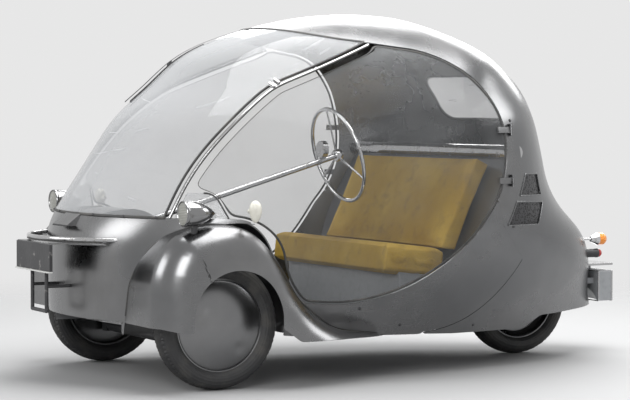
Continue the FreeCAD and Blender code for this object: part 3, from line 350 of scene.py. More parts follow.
def placed(made, finish, body, replaces):
    """Gives an object its finish, the body that carries it and the nodes that it stands for."""
    made.data.materials.clear()
    made.data.materials.append(finish)
    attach(made, body)
    if replaces:
        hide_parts(*replaces)


def piece(name, shape, finish, slot, replaces=(), body="chassis", thick=0.0, sharp=40, bevel=0.0):
    """Makes one mesh object in the frame from a shape: axle-based points, and faces.

    A sheet gets a wall inwards of its faces. Any other shape has them turned outwards.
    """
    points, faces = shape
    mesh = bpy.data.meshes.new(name)
    flat = np.asarray(points, float).reshape(-1, 3) + SHIFT
    mesh.from_pydata(flat.tolist(), [], [list(face) for face in faces])
    work = merged(mesh)
    bmesh.ops.dissolve_degenerate(work, edges=work.edges, dist=1e-6)
    if not thick:
        bmesh.ops.recalc_face_normals(work, faces=work.faces)
    rim = np.array([edge.is_boundary for edge in work.edges])
    put_back(work, mesh, sharp)
    made = added(name, mesh)
    if thick:
        crisp = mesh.attributes.get("sharp_edge") or mesh.attributes.new("sharp_edge", "BOOLEAN", "EDGE")
        marks = np.zeros(len(mesh.edges), bool)
        crisp.data.foreach_get("value", marks)
        crisp.data.foreach_set("value", marks | rim)
        wall = made.modifiers.new("wall", "SOLIDIFY")
        wall.thickness = thick
        wall.offset = -1.0
        wall.use_even_offset = False
    bevelled(made, bevel)
    placed(made, finish, body, replaces)


def pair(name, shape, finish, slot, replaces, bodies=("chassis", "chassis"), **extra):
    """The piece on the left, and its mirror image on the right."""
    for side, body, made in zip(("_left", "_right"), bodies, (shape, mirrored(*shape))):
        piece(name + side, made, finish, slot, [replaces + side], body, **extra)


def grid_faces(rows, columns, closed_rows=False, closed_columns=False):
    """Quads of a grid of points; a closed direction joins its last line to its first."""
    index = np.arange(rows * columns).reshape(rows, columns)
    if closed_rows:
        index = np.vstack([index, index[:1]])
    if closed_columns:
        index = np.hstack([index, index[:, :1]])
    quads = np.stack([index[:-1, :-1], index[:-1, 1:], index[1:, 1:], index[1:, :-1]], -1)
    return quads.reshape(-1, 4)


def joined(*parts):
    """Several (points, faces) as one: each part's faces count on from the part before."""
    points, faces, start = [], [], 0
    for some_points, some_faces in parts:
        flat = np.asarray(some_points, float).reshape(-1, 3)
        points.append(flat)
        faces += [[int(i) + start for i in face] for face in some_faces]
        start += len(flat)
    return np.concatenate(points), faces


def mirrored(points, faces):
    """The same shape on the car's other side, with its faces turned to point outwards."""
    return np.asarray(points, float).reshape(-1, 3) * (-1, 1, 1), [list(face)[::-1] for face in faces]


def both(*parts):
    """The parts and their mirror images as one."""
    return joined(*parts, *(mirrored(*part) for part in parts))


def unit(vectors):
    return vectors / np.maximum(np.linalg.norm(vectors, axis=-1, keepdims=True), 1e-12)


def swept(path, up, section, closed=False, size=1.0):
    """A section carried along a path: point = path + (side * first + up * second) * size.

    side is the cross product of the path's direction and up. size is one
    number, or one for each point of the path.
    """
    path = np.asarray(path, float)
    if closed:
        ahead = np.roll(path, -1, 0) - np.roll(path, 1, 0)
    else:
        ahead = np.gradient(path, axis=0)
    ahead = unit(ahead)
    up = unit(up - ahead * (up * ahead).sum(-1, keepdims=True))
    side = np.cross(ahead, up)
    section = np.asarray(section, float)
    around = side[:, None] * section[None, :, :1] + up[:, None] * section[None, :, 1:]
    points = path[:, None] + around * np.broadcast_to(size, len(path))[:, None, None]
    faces = grid_faces(len(path), len(section), closed, True).tolist()
    if not closed:
        count = len(section)
        faces.append(list(range(count)))
        faces.append(list(range((len(path) - 1) * count, len(path) * count))[::-1])
    return points, faces


def circle(radius, count=12, flat=1.0):
    """Points round a circle, or an ellipse with its second axis flat times the first."""
    turn = np.linspace(0, 2 * np.pi, count, endpoint=False)
    return np.stack([radius * np.cos(turn), flat * radius * np.sin(turn)], -1)


def tube(points, radius, count=12):
    """A round tube along a smooth line through a few points."""
    line = through(points, 24)
    steep = np.abs(unit(np.gradient(line, axis=0))[:, 2]) > 0.9
    up = np.array([0.31, 0.87, 0.12]) if steep.any() else UP
    return swept(line, up, circle(radius, count))


def through(points, steps):
    """Catmull-Rom curve: on each run a cubic whose ends follow the neighbours' chords."""
    p = np.asarray(points, float)
    if len(p) == 2:
        return p[0] + (p[1] - p[0]) * np.linspace(0, 1, 3)[:, None]
    ring = np.vstack([2 * p[:1] - p[1:2], p, 2 * p[-1:] - p[-2:-1]])
    a, b, c, d = (ring[i:len(ring) - 3 + i, None] for i in range(4))
    t = np.linspace(0, 1, steps, endpoint=False)[None, :, None]
    curve = 2 * b + (c - a) * t + (2 * a - 5 * b + 4 * c - d) * t ** 2 + (3 * b - a - 3 * c + d) * t ** 3
    return np.vstack([0.5 * curve.reshape(-1, p.shape[1]), p[-1:]])


def turned(profile, centre, axis="x", count=64, side=1):
    """A profile of (along, radius) spun round an axis through centre."""
    profile = np.asarray(profile, float)
    turn = np.linspace(0, 2 * np.pi, count, endpoint=False)
    along = np.repeat(profile[:, :1] * side, count, 1)
    first = profile[:, 1:] * np.cos(turn)
    second = profile[:, 1:] * np.sin(turn)
    order = {"x": (along, first, second), "y": (second, along, first), "z": (first, second, along)}[axis]
    points = np.stack(order, -1) + np.asarray(centre, float)
    return points, grid_faces(len(profile), count, False, True).tolist()


def dressed(node, finish, bevel=0.0, body="chassis"):
    """A merged copy of a CAD node that stands for it, with smooth shading and a small bevel."""
    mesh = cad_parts[node].data.copy()
    work = merged(mesh)
    bmesh.ops.dissolve_limit(work, verts=work.verts, edges=work.edges, angle_limit=math.radians(0.5))
    put_back(work, mesh, 35)
    made = added(node + "_finished", mesh)
    bevelled(made, bevel)
    placed(made, finish, body, [node])


# The faces of a block whose corners go low before high, the third size changing first.
BOX_FACES = [(0, 1, 3, 2), (4, 6, 7, 5), (0, 4, 5, 1), (2, 3, 7, 6), (0, 2, 6, 4), (1, 5, 7, 3)]


# ---------------------------------------------------------------- body form
HEIGHT = 1.371
HALF = 0.742
LEVELS = np.array([
    # height, nose reach, tail reach, half width, widest, nose fullness, tail fullness
    (0.9991, 0.754, 0.866, 0.061, 0.827, 0.570, 0.607),
    (0.9898, 0.618, 0.984, 0.206, 0.873, 0.584, 0.604),
    (0.9664, 0.454, 1.097, 0.368, 0.925, 0.600, 0.601),
    (0.9263, 0.277, 1.221, 0.535, 0.981, 0.616, 0.597),
    (0.8680, 0.125, 1.357, 0.690, 1.018, 0.632, 0.593),
    (0.7914, 0.017, 1.477, 0.823, 0.922, 0.648, 0.589),
    (0.7002, -0.107, 1.548, 0.937, 0.830, 0.663, 0.585),
    (0.6127, -0.186, 1.590, 0.982, 0.753, 0.674, 0.581),
    (0.5252, -0.263, 1.633, 1.000, 0.685, 0.684, 0.578),
    (0.4449, -0.335, 1.719, 0.991, 0.628, 0.692, 0.576),
    (0.3683, -0.372, 1.841, 0.945, 0.577, 0.700, 0.573),
    (0.2918, -0.380, 1.900, 0.875, 0.530, 0.706, 0.571),
    (0.2079, -0.378, 1.915, 0.792, 0.480, 0.713, 0.569),
    (0.1094, -0.372, 1.953, 0.702, 0.425, 0.720, 0.566),
])
_height, NOSE, TAIL, _half, WIDEST, NOSE_FULL, TAIL_FULL = LEVELS.T
SIDE = _half * HALF
# Columns of each level's curve: height, side, widest station, nose and tail, and the curve's four handles.
POLES = np.stack([
    _height * HEIGHT, SIDE, WIDEST, NOSE, TAIL,
    SIDE * NOSE_FULL, WIDEST + NOSE_FULL * (NOSE - WIDEST),
    SIDE * TAIL_FULL, WIDEST + TAIL_FULL * (TAIL - WIDEST),
], -1)
_run = np.linalg.norm(np.diff(POLES[:, [0, 1, 3, 4]], axis=0), axis=1)
KNOTS = np.concatenate([[0.0], np.cumsum(_run)]) / _run.sum()


def spline_bends(knots, values):
    """Second derivatives of the natural cubic spline through the values."""
    count = len(knots)
    gap = np.diff(knots)
    matrix = np.eye(count)
    right = np.zeros_like(values)
    for i in range(1, count - 1):
        matrix[i, i - 1:i + 2] = gap[i - 1], 2 * (gap[i - 1] + gap[i]), gap[i]
        right[i] = 6 * ((values[i + 1] - values[i]) / gap[i] - (values[i] - values[i - 1]) / gap[i - 1])
    return np.linalg.solve(matrix, right)


BENDS = spline_bends(KNOTS, POLES)
CROWN = 0.05


def poles_at(s):
    """The curve's columns at a share s of the way down the levels."""
    i = np.clip(np.searchsorted(KNOTS, s) - 1, 0, len(KNOTS) - 2)
    gap = (KNOTS[i + 1] - KNOTS[i])[..., None]
    b = (s - KNOTS[i])[..., None] / gap
    a = 1 - b
    bend = ((a ** 3 - a) * BENDS[i] + (b ** 3 - b) * BENDS[i + 1]) * gap ** 2 / 6
    return a * POLES[i] + b * POLES[i + 1] + bend


def body_point(s, bearing):
    """A point of the body form.

    s goes down the levels from roof (0) to hem (1), and below 0 it shrinks the
    top level to its middle at -CROWN. bearing goes round from the nose (0) by
    the left side (1) to the tail (2) and back (4). Each level is four cubic
    Bezier quarters that leave the middle plane square.
    """
    s, bearing = np.broadcast_arrays(np.asarray(s, float), np.asarray(bearing, float))
    share = np.clip(1 + s / CROWN, 0, 1)
    around = np.mod(bearing, 4.0)
    half = np.where(around > 2, 4 - around, around)
    rear = half > 1
    t = np.where(rear, 2 - half, half)
    p = np.moveaxis(poles_at(np.clip(s, 0, 1)), -1, 0)
    end = np.where(rear, p[4], p[3])
    handle_x = np.where(rear, p[7], p[5])
    handle_y = np.where(rear, p[8], p[6])
    u = 1 - t
    x = 3 * u * u * t * handle_x + 3 * u * t * t * p[1] + t ** 3 * p[1]
    y = u ** 3 * end + 3 * u * u * t * end + 3 * u * t * t * handle_y + t ** 3 * p[2]
    middle = (p[3] + p[4]) / 2
    return np.stack([np.where(around > 2, -x, x) * share, middle + (y - middle) * share, p[0]], -1)


def body_normal(s, bearing):
    """Outward direction: the cross product of the form's two slopes."""
    s, bearing = np.broadcast_arrays(np.asarray(s, float), np.asarray(bearing, float))
    step = 1e-3
    low, high = np.clip(s - step, -CROWN, 1), np.clip(s + step, -CROWN, 1)
    down = body_point(high, bearing) - body_point(low, bearing)
    around = body_point(s, bearing + step) - body_point(s, bearing - step)
    return unit(np.cross(down, around))


def dents(points):
    """Shallow dents, in metres: a sum of a few slanted waves, deepest on the lower skirt."""
    x, y, z = np.moveaxis(points, -1, 0)
    wave = (
        np.sin(7.1 * y + 5.3 * z + 1.3 * x) * np.sin(9.7 * z - 3.1 * y + 2.0)
        + 0.6 * np.sin(15.1 * y - 11.2 * z + 4.0 * x) * np.sin(13.0 * z + 6.4 * y)
    )
    depth = 0.0010 + 0.0012 * np.clip((0.55 - z) / 0.35, 0, 1)
    return wave * depth


def body_shell(s, bearing):
    """The form with its dents, which leave out the crown's cap."""
    points = body_point(s, bearing)
    depth = np.where(s < 0, 0.0, np.abs(dents(points)))
    return points - body_normal(s, bearing) * depth[..., None]


def halved(low, high, below, steps):
    """Closes in on the value between low and high up to which below(value) is true."""
    for _ in range(steps):
        middle = (low + high) / 2
        under = below(middle)
        low, high = np.where(under, middle, low), np.where(under, high, middle)
    return (low + high) / 2


S_TABLE = np.linspace(0, 1, 2001)
Z_TABLE = poles_at(S_TABLE)[:, 0]


def side_place(y, z):
    """(s, bearing) of the left side's point over a station y and a height z.

    s comes from a table of heights, and bearing from halving, as y grows with it.
    """
    y, z = np.broadcast_arrays(np.asarray(y, float), np.asarray(z, float))
    s = np.interp(-z, -Z_TABLE, S_TABLE)
    bearing = halved(np.zeros_like(y), np.full_like(y, 2.0), lambda turn: body_point(s, turn)[..., 1] < y, 26)
    return s, bearing


def on_side(y, z, out=0.0):
    """Points and outward directions on the left side over (y, z), lifted by out."""
    s, bearing = side_place(y, z)
    normal = body_normal(s, bearing)
    return body_point(s, bearing) + normal * out, normal


# ---------------------------------------------------------------- outlines
def arc(first, middle, last, count=20):
    """Points on the circle through three points, after the first and up to the last."""
    (ax, ay), (bx, by), (cx, cy) = first, middle, last
    d = 2 * (ax * (by - cy) + bx * (cy - ay) + cx * (ay - by))
    a2, b2, c2 = ax * ax + ay * ay, bx * bx + by * by, cx * cx + cy * cy
    centre = np.array([
        (a2 * (by - cy) + b2 * (cy - ay) + c2 * (ay - by)) / d,
        (a2 * (cx - bx) + b2 * (ax - cx) + c2 * (bx - ax)) / d,
    ])
    angles = [math.atan2(y - centre[1], x - centre[0]) for x, y in (first, middle, last)]
    turn = 2 * math.pi
    to_middle, to_last = (angles[1] - angles[0]) % turn, (angles[2] - angles[0]) % turn
    sweep = to_last if to_middle < to_last else to_last - turn
    at = angles[0] + sweep * np.arange(1, count + 1) / count
    radius = math.hypot(ax - centre[0], ay - centre[1])
    return centre + radius * np.stack([np.cos(at), np.sin(at)], -1)


def outline(rows):
    """A closed loop of (y, z) rows; a row of four is reached by an arc through its last two."""
    loop, last = [], rows[-1][:2]
    for row in rows:
        points = arc(last, row[2:], row[:2]) if len(row) == 4 else np.array([row[:2]])
        loop.append(points)
        last = row[:2]
    return np.concatenate(loop)


def distance(loop, y, z):
    """Distance from points to a closed loop, positive inside it.

    The nearest point of each side is found by projection, and inside is told
    by how often a ray to the right crosses the loop.
    """
    y, z = np.asarray(y, float), np.asarray(z, float)
    best = np.full(y.shape, 9.0)
    crossed = np.zeros(y.shape, bool)
    for (ay, az), (by, bz) in zip(loop, np.roll(loop, -1, 0)):
        dy, dz = by - ay, bz - az
        share = np.clip(((y - ay) * dy + (z - az) * dz) / max(dy * dy + dz * dz, 1e-12), 0, 1)
        best = np.minimum(best, np.hypot(y - ay - share * dy, z - az - share * dz))
        if abs(dz) > 1e-12:
            spans = (az > z) != (bz > z)
            crossed ^= spans & (y < ay + (z - az) * dy / dz)
    return np.where(crossed, best, -best)


def inner_loop(loop, inset, count):
    """The loop moved inwards by inset, with evenly spaced points and softened corners."""
    fine = even(loop, 600)
    ahead = unit(np.roll(fine, -1, 0) - np.roll(fine, 1, 0))
    inwards = np.stack([-ahead[:, 1], ahead[:, 0]], -1)
    if distance(loop, *(fine[:1] + inwards[:1] * 0.01).T)[0] < 0:
        inwards = -inwards
    moved = fine + inwards * inset
    moved = moved[distance(loop, moved[:, 0], moved[:, 1]) > inset * 0.97]
    return smoothed(even(moved, count), 3, True)


def even(loop, count, closed=True):
    """Points at equal steps along a line of points."""
    ring = np.vstack([loop, loop[:1]]) if closed else np.asarray(loop)
    run = np.concatenate([[0], np.cumsum(np.linalg.norm(np.diff(ring, axis=0), axis=1))])
    at = np.linspace(0, run[-1], count, endpoint=not closed)
    return np.stack([np.interp(at, run, ring[:, k]) for k in range(ring.shape[1])], -1)


def smoothed(line, times, closed=False):
    """Each point moves half way to the middle of its neighbours; an open line keeps its ends."""
    for _ in range(times):
        calm = (np.roll(line, 1, 0) + 2 * line + np.roll(line, -1, 0)) / 4
        if not closed:
            calm[[0, -1]] = line[[0, -1]]
        line = calm
    return line

def trimmed(points, keep):
    """The part of a grid of points where keep is above zero.

    A quad that the zero line crosses is cut where keep, taken as straight
    along each of its sides, is zero. Faces point outwards on the body form.
    """
    rows, columns = keep.shape
    level = keep.ravel()
    spots = points.reshape(-1, 3)
    corner = np.arange(rows * columns).reshape(rows, columns)

    def crossings(a, b):
        gap = level[a] - level[b]
        share = np.clip(level[a] / np.where(np.abs(gap) < 1e-12, 1.0, gap), 0, 1)
        return spots[a] + share[:, None] * (spots[b] - spots[a])

    across = crossings(corner[:, :-1].ravel(), corner[:, 1:].ravel())
    down = crossings(corner[:-1].ravel(), corner[1:].ravel())
    on_across = np.arange(len(across)).reshape(rows, columns - 1) + len(spots)
    on_down = np.arange(len(down)).reshape(rows - 1, columns) + len(spots) + len(across)
    corners = [corner[:-1, :-1], corner[1:, :-1], corner[1:, 1:], corner[:-1, 1:]]
    sides = [on_down[:, :-1], on_across[1:], on_down[:, 1:], on_across[:-1]]
    inside = [level[c] > 0 for c in corners]
    case = sum(inside[k] * (1 << k) for k in range(4))
    faces = []
    for number in range(1, 16):
        here = case == number
        if not here.any():
            continue
        ring = []
        for k in range(4):
            now, after = number >> k & 1, number >> (k + 1) % 4 & 1
            ring += [corners[k][here]] * now + [sides[k][here]] * (now != after)
        faces += np.stack(ring, -1).tolist()
    everything = np.concatenate([spots, across, down])
    used = np.unique(np.concatenate([np.asarray(face) for face in faces]))
    fresh = np.zeros(len(everything), int)
    fresh[used] = np.arange(len(used))
    return everything[used], [[int(fresh[i]) for i in face] for face in faces]


def joint_line(rows, y):
    """Height of a broken line of (y, z) rows at stations y."""
    rows = np.asarray(rows)
    return np.interp(y, rows[:, 0], rows[:, 1])


COWL = 0.615
PILLAR_BASE, PILLAR_KNEE, PILLAR_TOP = (-0.183, COWL), (0.258, 1.094), (0.673, 1.252)
# The sides that the door and its opening share, from the roof round the rear to the cowl.
DOOR_REAR = [
    (0.797, 1.234), (1.144, 0.857, 1.030, 1.130), (1.047, 0.609, 1.125, 0.738), (0.422, 0.292, 0.821, 0.390),
    (0.318, 0.300), (0.200, 0.452, 0.248, 0.368), (0.040, 0.612, 0.140, 0.556),
]
DOOR = outline([(*PILLAR_KNEE, -0.041, 0.836), PILLAR_TOP, *DOOR_REAR, PILLAR_BASE])
OPENING = outline([(0.266, 1.070, -0.020, 0.822), (0.679, 1.228), (0.680, 1.250), *DOOR_REAR, (-0.159, COWL)])
# A fixed pane fills the corner over the headlamp; the door's field ends above and behind it.
CORNER_TOP = 0.703
CORNER_EDGE = np.vstack([
    [(0.000, 0.614), (-0.024, 0.675)], arc((-0.024, 0.675), (-0.038, 0.696), (-0.062, CORNER_TOP), 6),
])
CORNER = np.vstack([CORNER_EDGE, [(-0.4, CORNER_TOP), (-0.4, 0.560), (0.0, 0.560)]])
DOOR_FIELD = np.vstack([
    OPENING[:20][OPENING[:20, 1] > CORNER_TOP + 0.004], OPENING[20:-1], CORNER_EDGE,
])
SCREEN = outline([
    (*PILLAR_KNEE, -0.041, 0.836), PILLAR_TOP, (0.673, 1.6), (-1.0, 1.6), (-1.0, COWL), PILLAR_BASE,
])
SEAM = outline([
    (0.2625, 0.0), (0.860, 0.0), (0.860, 0.165), (1.274, 0.432, 1.161, 0.280), (1.132, 0.562), (1.095, 0.655),
    (0.700, 0.800), (0.2625, 0.640),
])
HEM = [
    (-1.0, 0.262), (-0.300, 0.240), (0.300, 0.178), (1.000, 0.152), (1.380, 0.150), (1.470, 0.196),
    (2.6, 0.222),
]
VENTS = [
    np.array([(1.263, 0.758), (1.361, 0.756), (1.379, 0.674), (1.222, 0.676)]),
    np.array([(1.199, 0.654), (1.386, 0.648), (1.338, 0.563), (1.153, 0.566)]),
]
WELL_REAR = 0.2625
PROW_R, PROW_Y = 0.422, 0.814
WINDOW_HALF, WINDOW_TALL, WINDOW_Z, WINDOW_ROUND = 0.330, 0.089, 1.051, 0.058


def prow_distance(x, y):
    """Positive within the round prow that ends the roof panel."""
    return PROW_R - np.hypot(x, y - PROW_Y)


def window_distance(x, y, z):
    """Positive inside the rear window, a rectangle with round corners."""
    dx = np.abs(x) - (WINDOW_HALF - WINDOW_ROUND)
    dz = np.abs(z - WINDOW_Z) - (WINDOW_TALL - WINDOW_ROUND)
    outside = np.hypot(np.maximum(dx, 0), np.maximum(dz, 0)) + np.minimum(np.maximum(dx, dz), 0)
    return np.where(y > 1.15, WINDOW_ROUND - outside, -9.0)


# ---------------------------------------------------------------- fenders
FENDER_SIDE, FENDER_ROUND, FENDER_INNER, FENDER_TURN = 0.682, 0.120, 0.290, 0.060
RIDGE = [
    # straight length or 0, radius, turn in degrees
    (0.313, 0, 0), (0, 0.275, 41), (0, 0.130, 25), (0, 0.505, 23), (0, 0.176, 65),
    (0.140, 0, 0), (0, 0.358, -57), (0.130, 0, 0),
]


def ridge_line():
    """The fender's ridge as (y, z) points and outward directions, from straights and tangent arcs."""
    heading, spot = math.pi / 2, np.array([-0.278, 0.040])
    points, ways = [spot], [(-1.0, 0.0)]
    for straight, radius, turn in RIDGE:
        if straight:
            step = np.array([math.cos(heading), math.sin(heading)])
            for share in np.linspace(0, 1, 9)[1:]:
                points.append(spot + step * straight * share)
                ways.append((-step[1], step[0]))
            spot = points[-1]
            continue
        side = math.copysign(1, turn)
        centre = spot + np.array([math.sin(heading), -math.cos(heading)]) * (side * radius)
        for share in np.linspace(0, 1, 13)[1:]:
            bearing = heading - math.radians(turn) * share
            points.append(centre - np.array([math.sin(bearing), -math.cos(bearing)]) * (side * radius))
            ways.append((-math.sin(bearing), math.cos(bearing)))
        heading, spot = bearing, points[-1]
    return np.array(points), np.array(ways)


def fender_grid():
    """Left fender as a grid: along the ridge, and across it from the inner side to the outer.

    Across, the section is a quarter round inside, a flat top and a quarter round
    outside; where it turns down by an angle, the ridge moves inwards by
    radius * (1 - cos(angle)). The outer side goes on to the wheel's middle.
    """
    ridge, way = ridge_line()
    rows = []
    for angle in np.radians(np.linspace(88, 0, 9)):
        rows.append((FENDER_INNER + FENDER_TURN * (1 - math.sin(angle)), FENDER_TURN * (1 - math.cos(angle))))
    for share in (0.25, 0.50, 0.75):
        rows.append((0.350 + 0.212 * share, 0.0))
    for angle in np.radians(np.linspace(0, 88, 12)):
        rows.append((FENDER_SIDE - FENDER_ROUND * (1 - math.sin(angle)), FENDER_ROUND * (1 - math.cos(angle))))
    grid = np.stack([
        np.concatenate([np.full((len(ridge), 1), x), ridge - way * inset], 1) for x, inset in rows
    ])
    last = grid[-1]
    centre = np.array([FENDER_SIDE, 0.02, 0.12])
    inwards = [last + (centre - last) * share for share in np.linspace(0, 0.75, 14)[1:]]
    return np.concatenate([grid, np.stack(inwards)])


ARCH_Y, ARCH_R, ARCH_Z = 0.014, 0.174, 0.2605
FENDER_HEM = [(-1.0, 0.236), (-0.262, 0.236), (-0.200, 0.222), (0.190, 0.222), (0.262, 0.172), (0.8, 0.172)]


def arch_distance(y, z):
    """Positive outside the wheel arch: a half circle with straight legs."""
    above = np.hypot(y - ARCH_Y, z - ARCH_Z) - ARCH_R
    beside = np.abs(y - ARCH_Y) - ARCH_R
    return np.where(z > ARCH_Z, above, beside)


def refined(grid, times):
    """A finer grid: Catmull-Rom curves both ways through its points."""
    def along(points):
        return through(points.reshape(len(points), -1), times).reshape(-1, *points.shape[1:])
    return along(along(grid).swapaxes(0, 1)).swapaxes(0, 1)


def body_side_x(y, z):
    """How far out the body's side stands at (y, z); 0 ahead of the nose."""
    s, bearing = side_place(y, z)
    point = body_point(s, bearing)
    return np.where(np.abs(point[..., 1] - y) < 0.01, point[..., 0], 0.0)


def make_fender():
    grid = refined(fender_grid(), 3)
    x, y, z = np.moveaxis(grid, -1, 0)
    keep = np.minimum(z - joint_line(FENDER_HEM, y), arch_distance(y, z))
    keep = np.minimum(keep, x - body_side_x(y, z) - 0.001)
    wave = 0.0012 * np.sin(11 * y + 17 * z) * np.sin(23 * z + 9 * x)
    grid = grid - np.array([1.0, 0.0, 0.0]) * np.abs(wave)[..., None]
    return trimmed(grid, keep)


# ---------------------------------------------------------------- shell panels
RIDGE_POINTS, RIDGE_WAYS = ridge_line()
WELL = np.vstack([RIDGE_POINTS - RIDGE_WAYS * 0.012, [(0.8, 0.03)]])
SEAM_GAP = 0.0012
SHELL_WALL, FENDER_WALL, PANE_WALL = 0.0035, 0.003, 0.004


def seam_gap(z):
    """Half the joint's width: open below the tail's bend, and closed tight above it."""
    return np.where(z < 0.43, SEAM_GAP, 0.0001)

def body_keep(x, y, z):
    """Positive where the shell is metal: over the hem and clear of every opening."""
    side = np.abs(x) > 0.2
    keep = z - joint_line(HEM, y)
    keep = np.minimum(keep, np.maximum(-distance(SCREEN, y, z), prow_distance(x, y)))
    keep = np.minimum(keep, np.where(side, -distance(DOOR, y, z), 9.0))
    keep = np.minimum(keep, -window_distance(x, y, z))
    well = np.minimum(distance(WELL, y, z), np.minimum(WELL_REAR - y, np.abs(x) - 0.322))
    return np.minimum(keep, -well)


def form_grid(s_span, bearing_span, rows, columns):
    """Shares s and bearings over a part of the form, and the x, y and z there."""
    s = np.linspace(*s_span, rows)[:, None]
    bearing = np.linspace(*bearing_span, columns)[None, :]
    return s, bearing, np.moveaxis(body_point(s, bearing), -1, 0)


def shell_panel(name, node, region, *grid):
    """A dented panel of the shell, over the region that is above zero."""
    s, bearing, spot = form_grid(*grid)
    keep = np.minimum(body_keep(*spot), region(*spot))
    piece(name, trimmed(body_shell(s, bearing), keep), ALUMINIUM, "body_aluminium", [node], thick=SHELL_WALL)


def nose_region(x, y, z):
    return np.minimum(WELL_REAR - SEAM_GAP - y, 0.7 - z)


def sill_region(x, y, z):
    return np.minimum(distance(SEAM, y, z), y - WELL_REAR) - seam_gap(z)


def tail_region(x, y, z):
    keep = np.minimum(-distance(SEAM, y, z), np.maximum(y - WELL_REAR, z - 0.7)) - seam_gap(z)
    for vent in VENTS:
        keep = np.minimum(keep, -distance(vent, y, z))
    return keep


shell_panel("nose_skin", "nose_panel", nose_region, (0.52, 1.0), (-1.25, 1.25), 96, 300)
shell_panel("sill_skin_left", "sill_left", sill_region, (0.52, 1.0), (0.7, 1.7), 90, 170)
shell_panel("sill_skin_right", "sill_right", sill_region, (0.52, 1.0), (2.3, 3.3), 90, 170)
shell_panel("roof_tail_skin", "roof_tail_panel", tail_region, (-CROWN, 1.0), (0.0, 4.0), 200, 400)

fender = make_fender()
pair("fender_skin", fender, ALUMINIUM, "body_aluminium", "fender", thick=FENDER_WALL)
# A dark strip lies in the corner between fender and body: painted shade for the shadowed valley along their
# joint.
x, y, z = fender[0].T
fender_shade_line = fender[0][(np.abs(x - body_side_x(y, z) - 0.001) < 3e-4) & (x > 0.20)]
fender_shade_line = fender_shade_line[np.argsort(-np.arctan2(fender_shade_line[:, 2] - 0.10, fender_shade_line[:, 1] - 0.05))]
fender_shade_line = smoothed(even(fender_shade_line, 150, False), 12)
_, fender_shade_up = on_side(*fender_shade_line[:, 1:].T)
piece("fender_shade_strips", both(swept(fender_shade_line, fender_shade_up, circle(0.0028, 10))), BLACK_RUBBER, "rubber_seal")


# ---------------------------------------------------------------- panes
def pane(name, node, region, *grid, body="chassis", finish=SCREEN_PLASTIC):
    """A clear pane of the form, over the region that is above zero."""
    s, bearing, spot = form_grid(*grid)
    shape = trimmed(body_point(s, bearing), region(*spot))
    piece(name, shape, finish, "clear_pane", [node], body, thick=PANE_WALL, sharp=60)


def screen_region(x, y, z):
    return np.minimum(distance(SCREEN, y, z), -prow_distance(x, y)) - 0.001


def window_region(x, y, z):
    return window_distance(x, y, z) - 0.001


def corner_region(x, y, z):
    return np.where(np.abs(x) > 0.1, np.minimum(distance(OPENING, y, z), distance(CORNER, y, z)), -9.0)


def door_region(x, y, z):
    return np.where(np.abs(x) > 0.1, distance(DOOR_FIELD, y, z), -9.0) - 0.0125


pane("windscreen_sheet", "windscreen", screen_region, (0.06, 0.80), (-1.2, 1.2), 150, 240)
pane("rear_window_sheet", "rear_window", window_region, (0.42, 0.62), (1.4, 2.6), 70, 150)
for side, body, corner_span, door_span in (
    ("left", "door_l", (0.2, 1.2), (0.2, 1.9)), ("right", "door_r", (2.8, 3.8), (2.1, 3.8)),
):
    pane("corner_sheet_" + side, "corner_pane_" + side, corner_region, (0.60, 0.80), corner_span, 60, 160)
    pane("door_sheet_" + side, "door_pane_" + side, door_region, (0.12, 0.98), door_span, 120, 180,
         body=body, finish=DOOR_PLASTIC)


def flat_oval(half_width, half_height, count=14):
    """A section that is wide and low with round ends."""
    turn = np.linspace(0, 2 * np.pi, count, endpoint=False)
    x, y = np.cos(turn), np.sin(turn)
    across = half_width * np.sign(x) * np.abs(x) ** 0.6
    return np.stack([across, half_height * np.sign(y) * np.abs(y) ** 0.7], -1)


door_rim = inner_loop(DOOR_FIELD, 0.0100, 260)
path, up = on_side(*door_rim.T, -0.0015)
# The seal is thin along the pillar and the corner pane, and full round the rest.
beside_pillar = (door_rim[:, 1] > 0.66) & (door_rim[:, 0] < 0.66)
seal_size = smoothed(np.where(beside_pillar, 0.28, 1.0), 6, True)
pair("door_rubber", swept(path, up, flat_oval(0.0042, 0.0036), True, seal_size), BLACK_RUBBER, "rubber_seal",
     "door_edge", ("door_l", "door_r"))

TUBE_FOOT, TUBE_KNEE = (-0.171, COWL), (0.262, 1.082)
pillar_line = np.vstack([
    [TUBE_FOOT], arc(TUBE_FOOT, (-0.031, 0.829), TUBE_KNEE, 40),
    np.linspace(TUBE_KNEE, (0.676, 1.240), 26)[1:],
])
pillar_line = smoothed(even(pillar_line, 160, False), 60)
path, up = on_side(*pillar_line.T)
dark_edge = swept(path, up, flat_oval(0.0070, 0.0028))
pair("pillar_tube", swept(path + up * 0.002, up, circle(0.0048, 16, 0.8)), BRIGHT, "bright_tube", "pillar")

# Dark strips seal the screen along the cowl, the pillars and the roof's prow.
(cowl_s,), (cowl_end,) = side_place([PILLAR_BASE[0]], [COWL])
cowl_bearing = np.linspace(-1, 1, 160) * cowl_end
cowl_up = body_normal(cowl_s, cowl_bearing)
cowl = swept(body_point(cowl_s, cowl_bearing) + cowl_up * 0.001, cowl_up, flat_oval(0.0052, 0.0030))
seal_line = pillar_line + (-0.010, 0.008)
seal = swept(*on_side(*seal_line.T, 0.001), flat_oval(0.004, 0.0045))


def over_plan(x, y):
    """Height of the form's upper side over (x, y), by halving until the side stands at x."""
    low, high = np.full_like(x, 0.70), np.full_like(x, HEIGHT * 0.9990)
    return halved(low, high, lambda z: on_side(y, z)[0][..., 0] > x, 24)


prow_turn = np.linspace(0.02, 1.225, 50)
prow_x, prow_y = PROW_R * np.sin(prow_turn), PROW_Y - PROW_R * np.cos(prow_turn)
prow_half, prow_up = on_side(prow_y, over_plan(prow_x, prow_y))
prow_path = np.vstack([prow_half[::-1] * (-1, 1, 1), prow_half])
prow_ups = np.vstack([prow_up[::-1] * (-1, 1, 1), prow_up])
prow = swept(prow_path, prow_ups, flat_oval(0.006, 0.003))


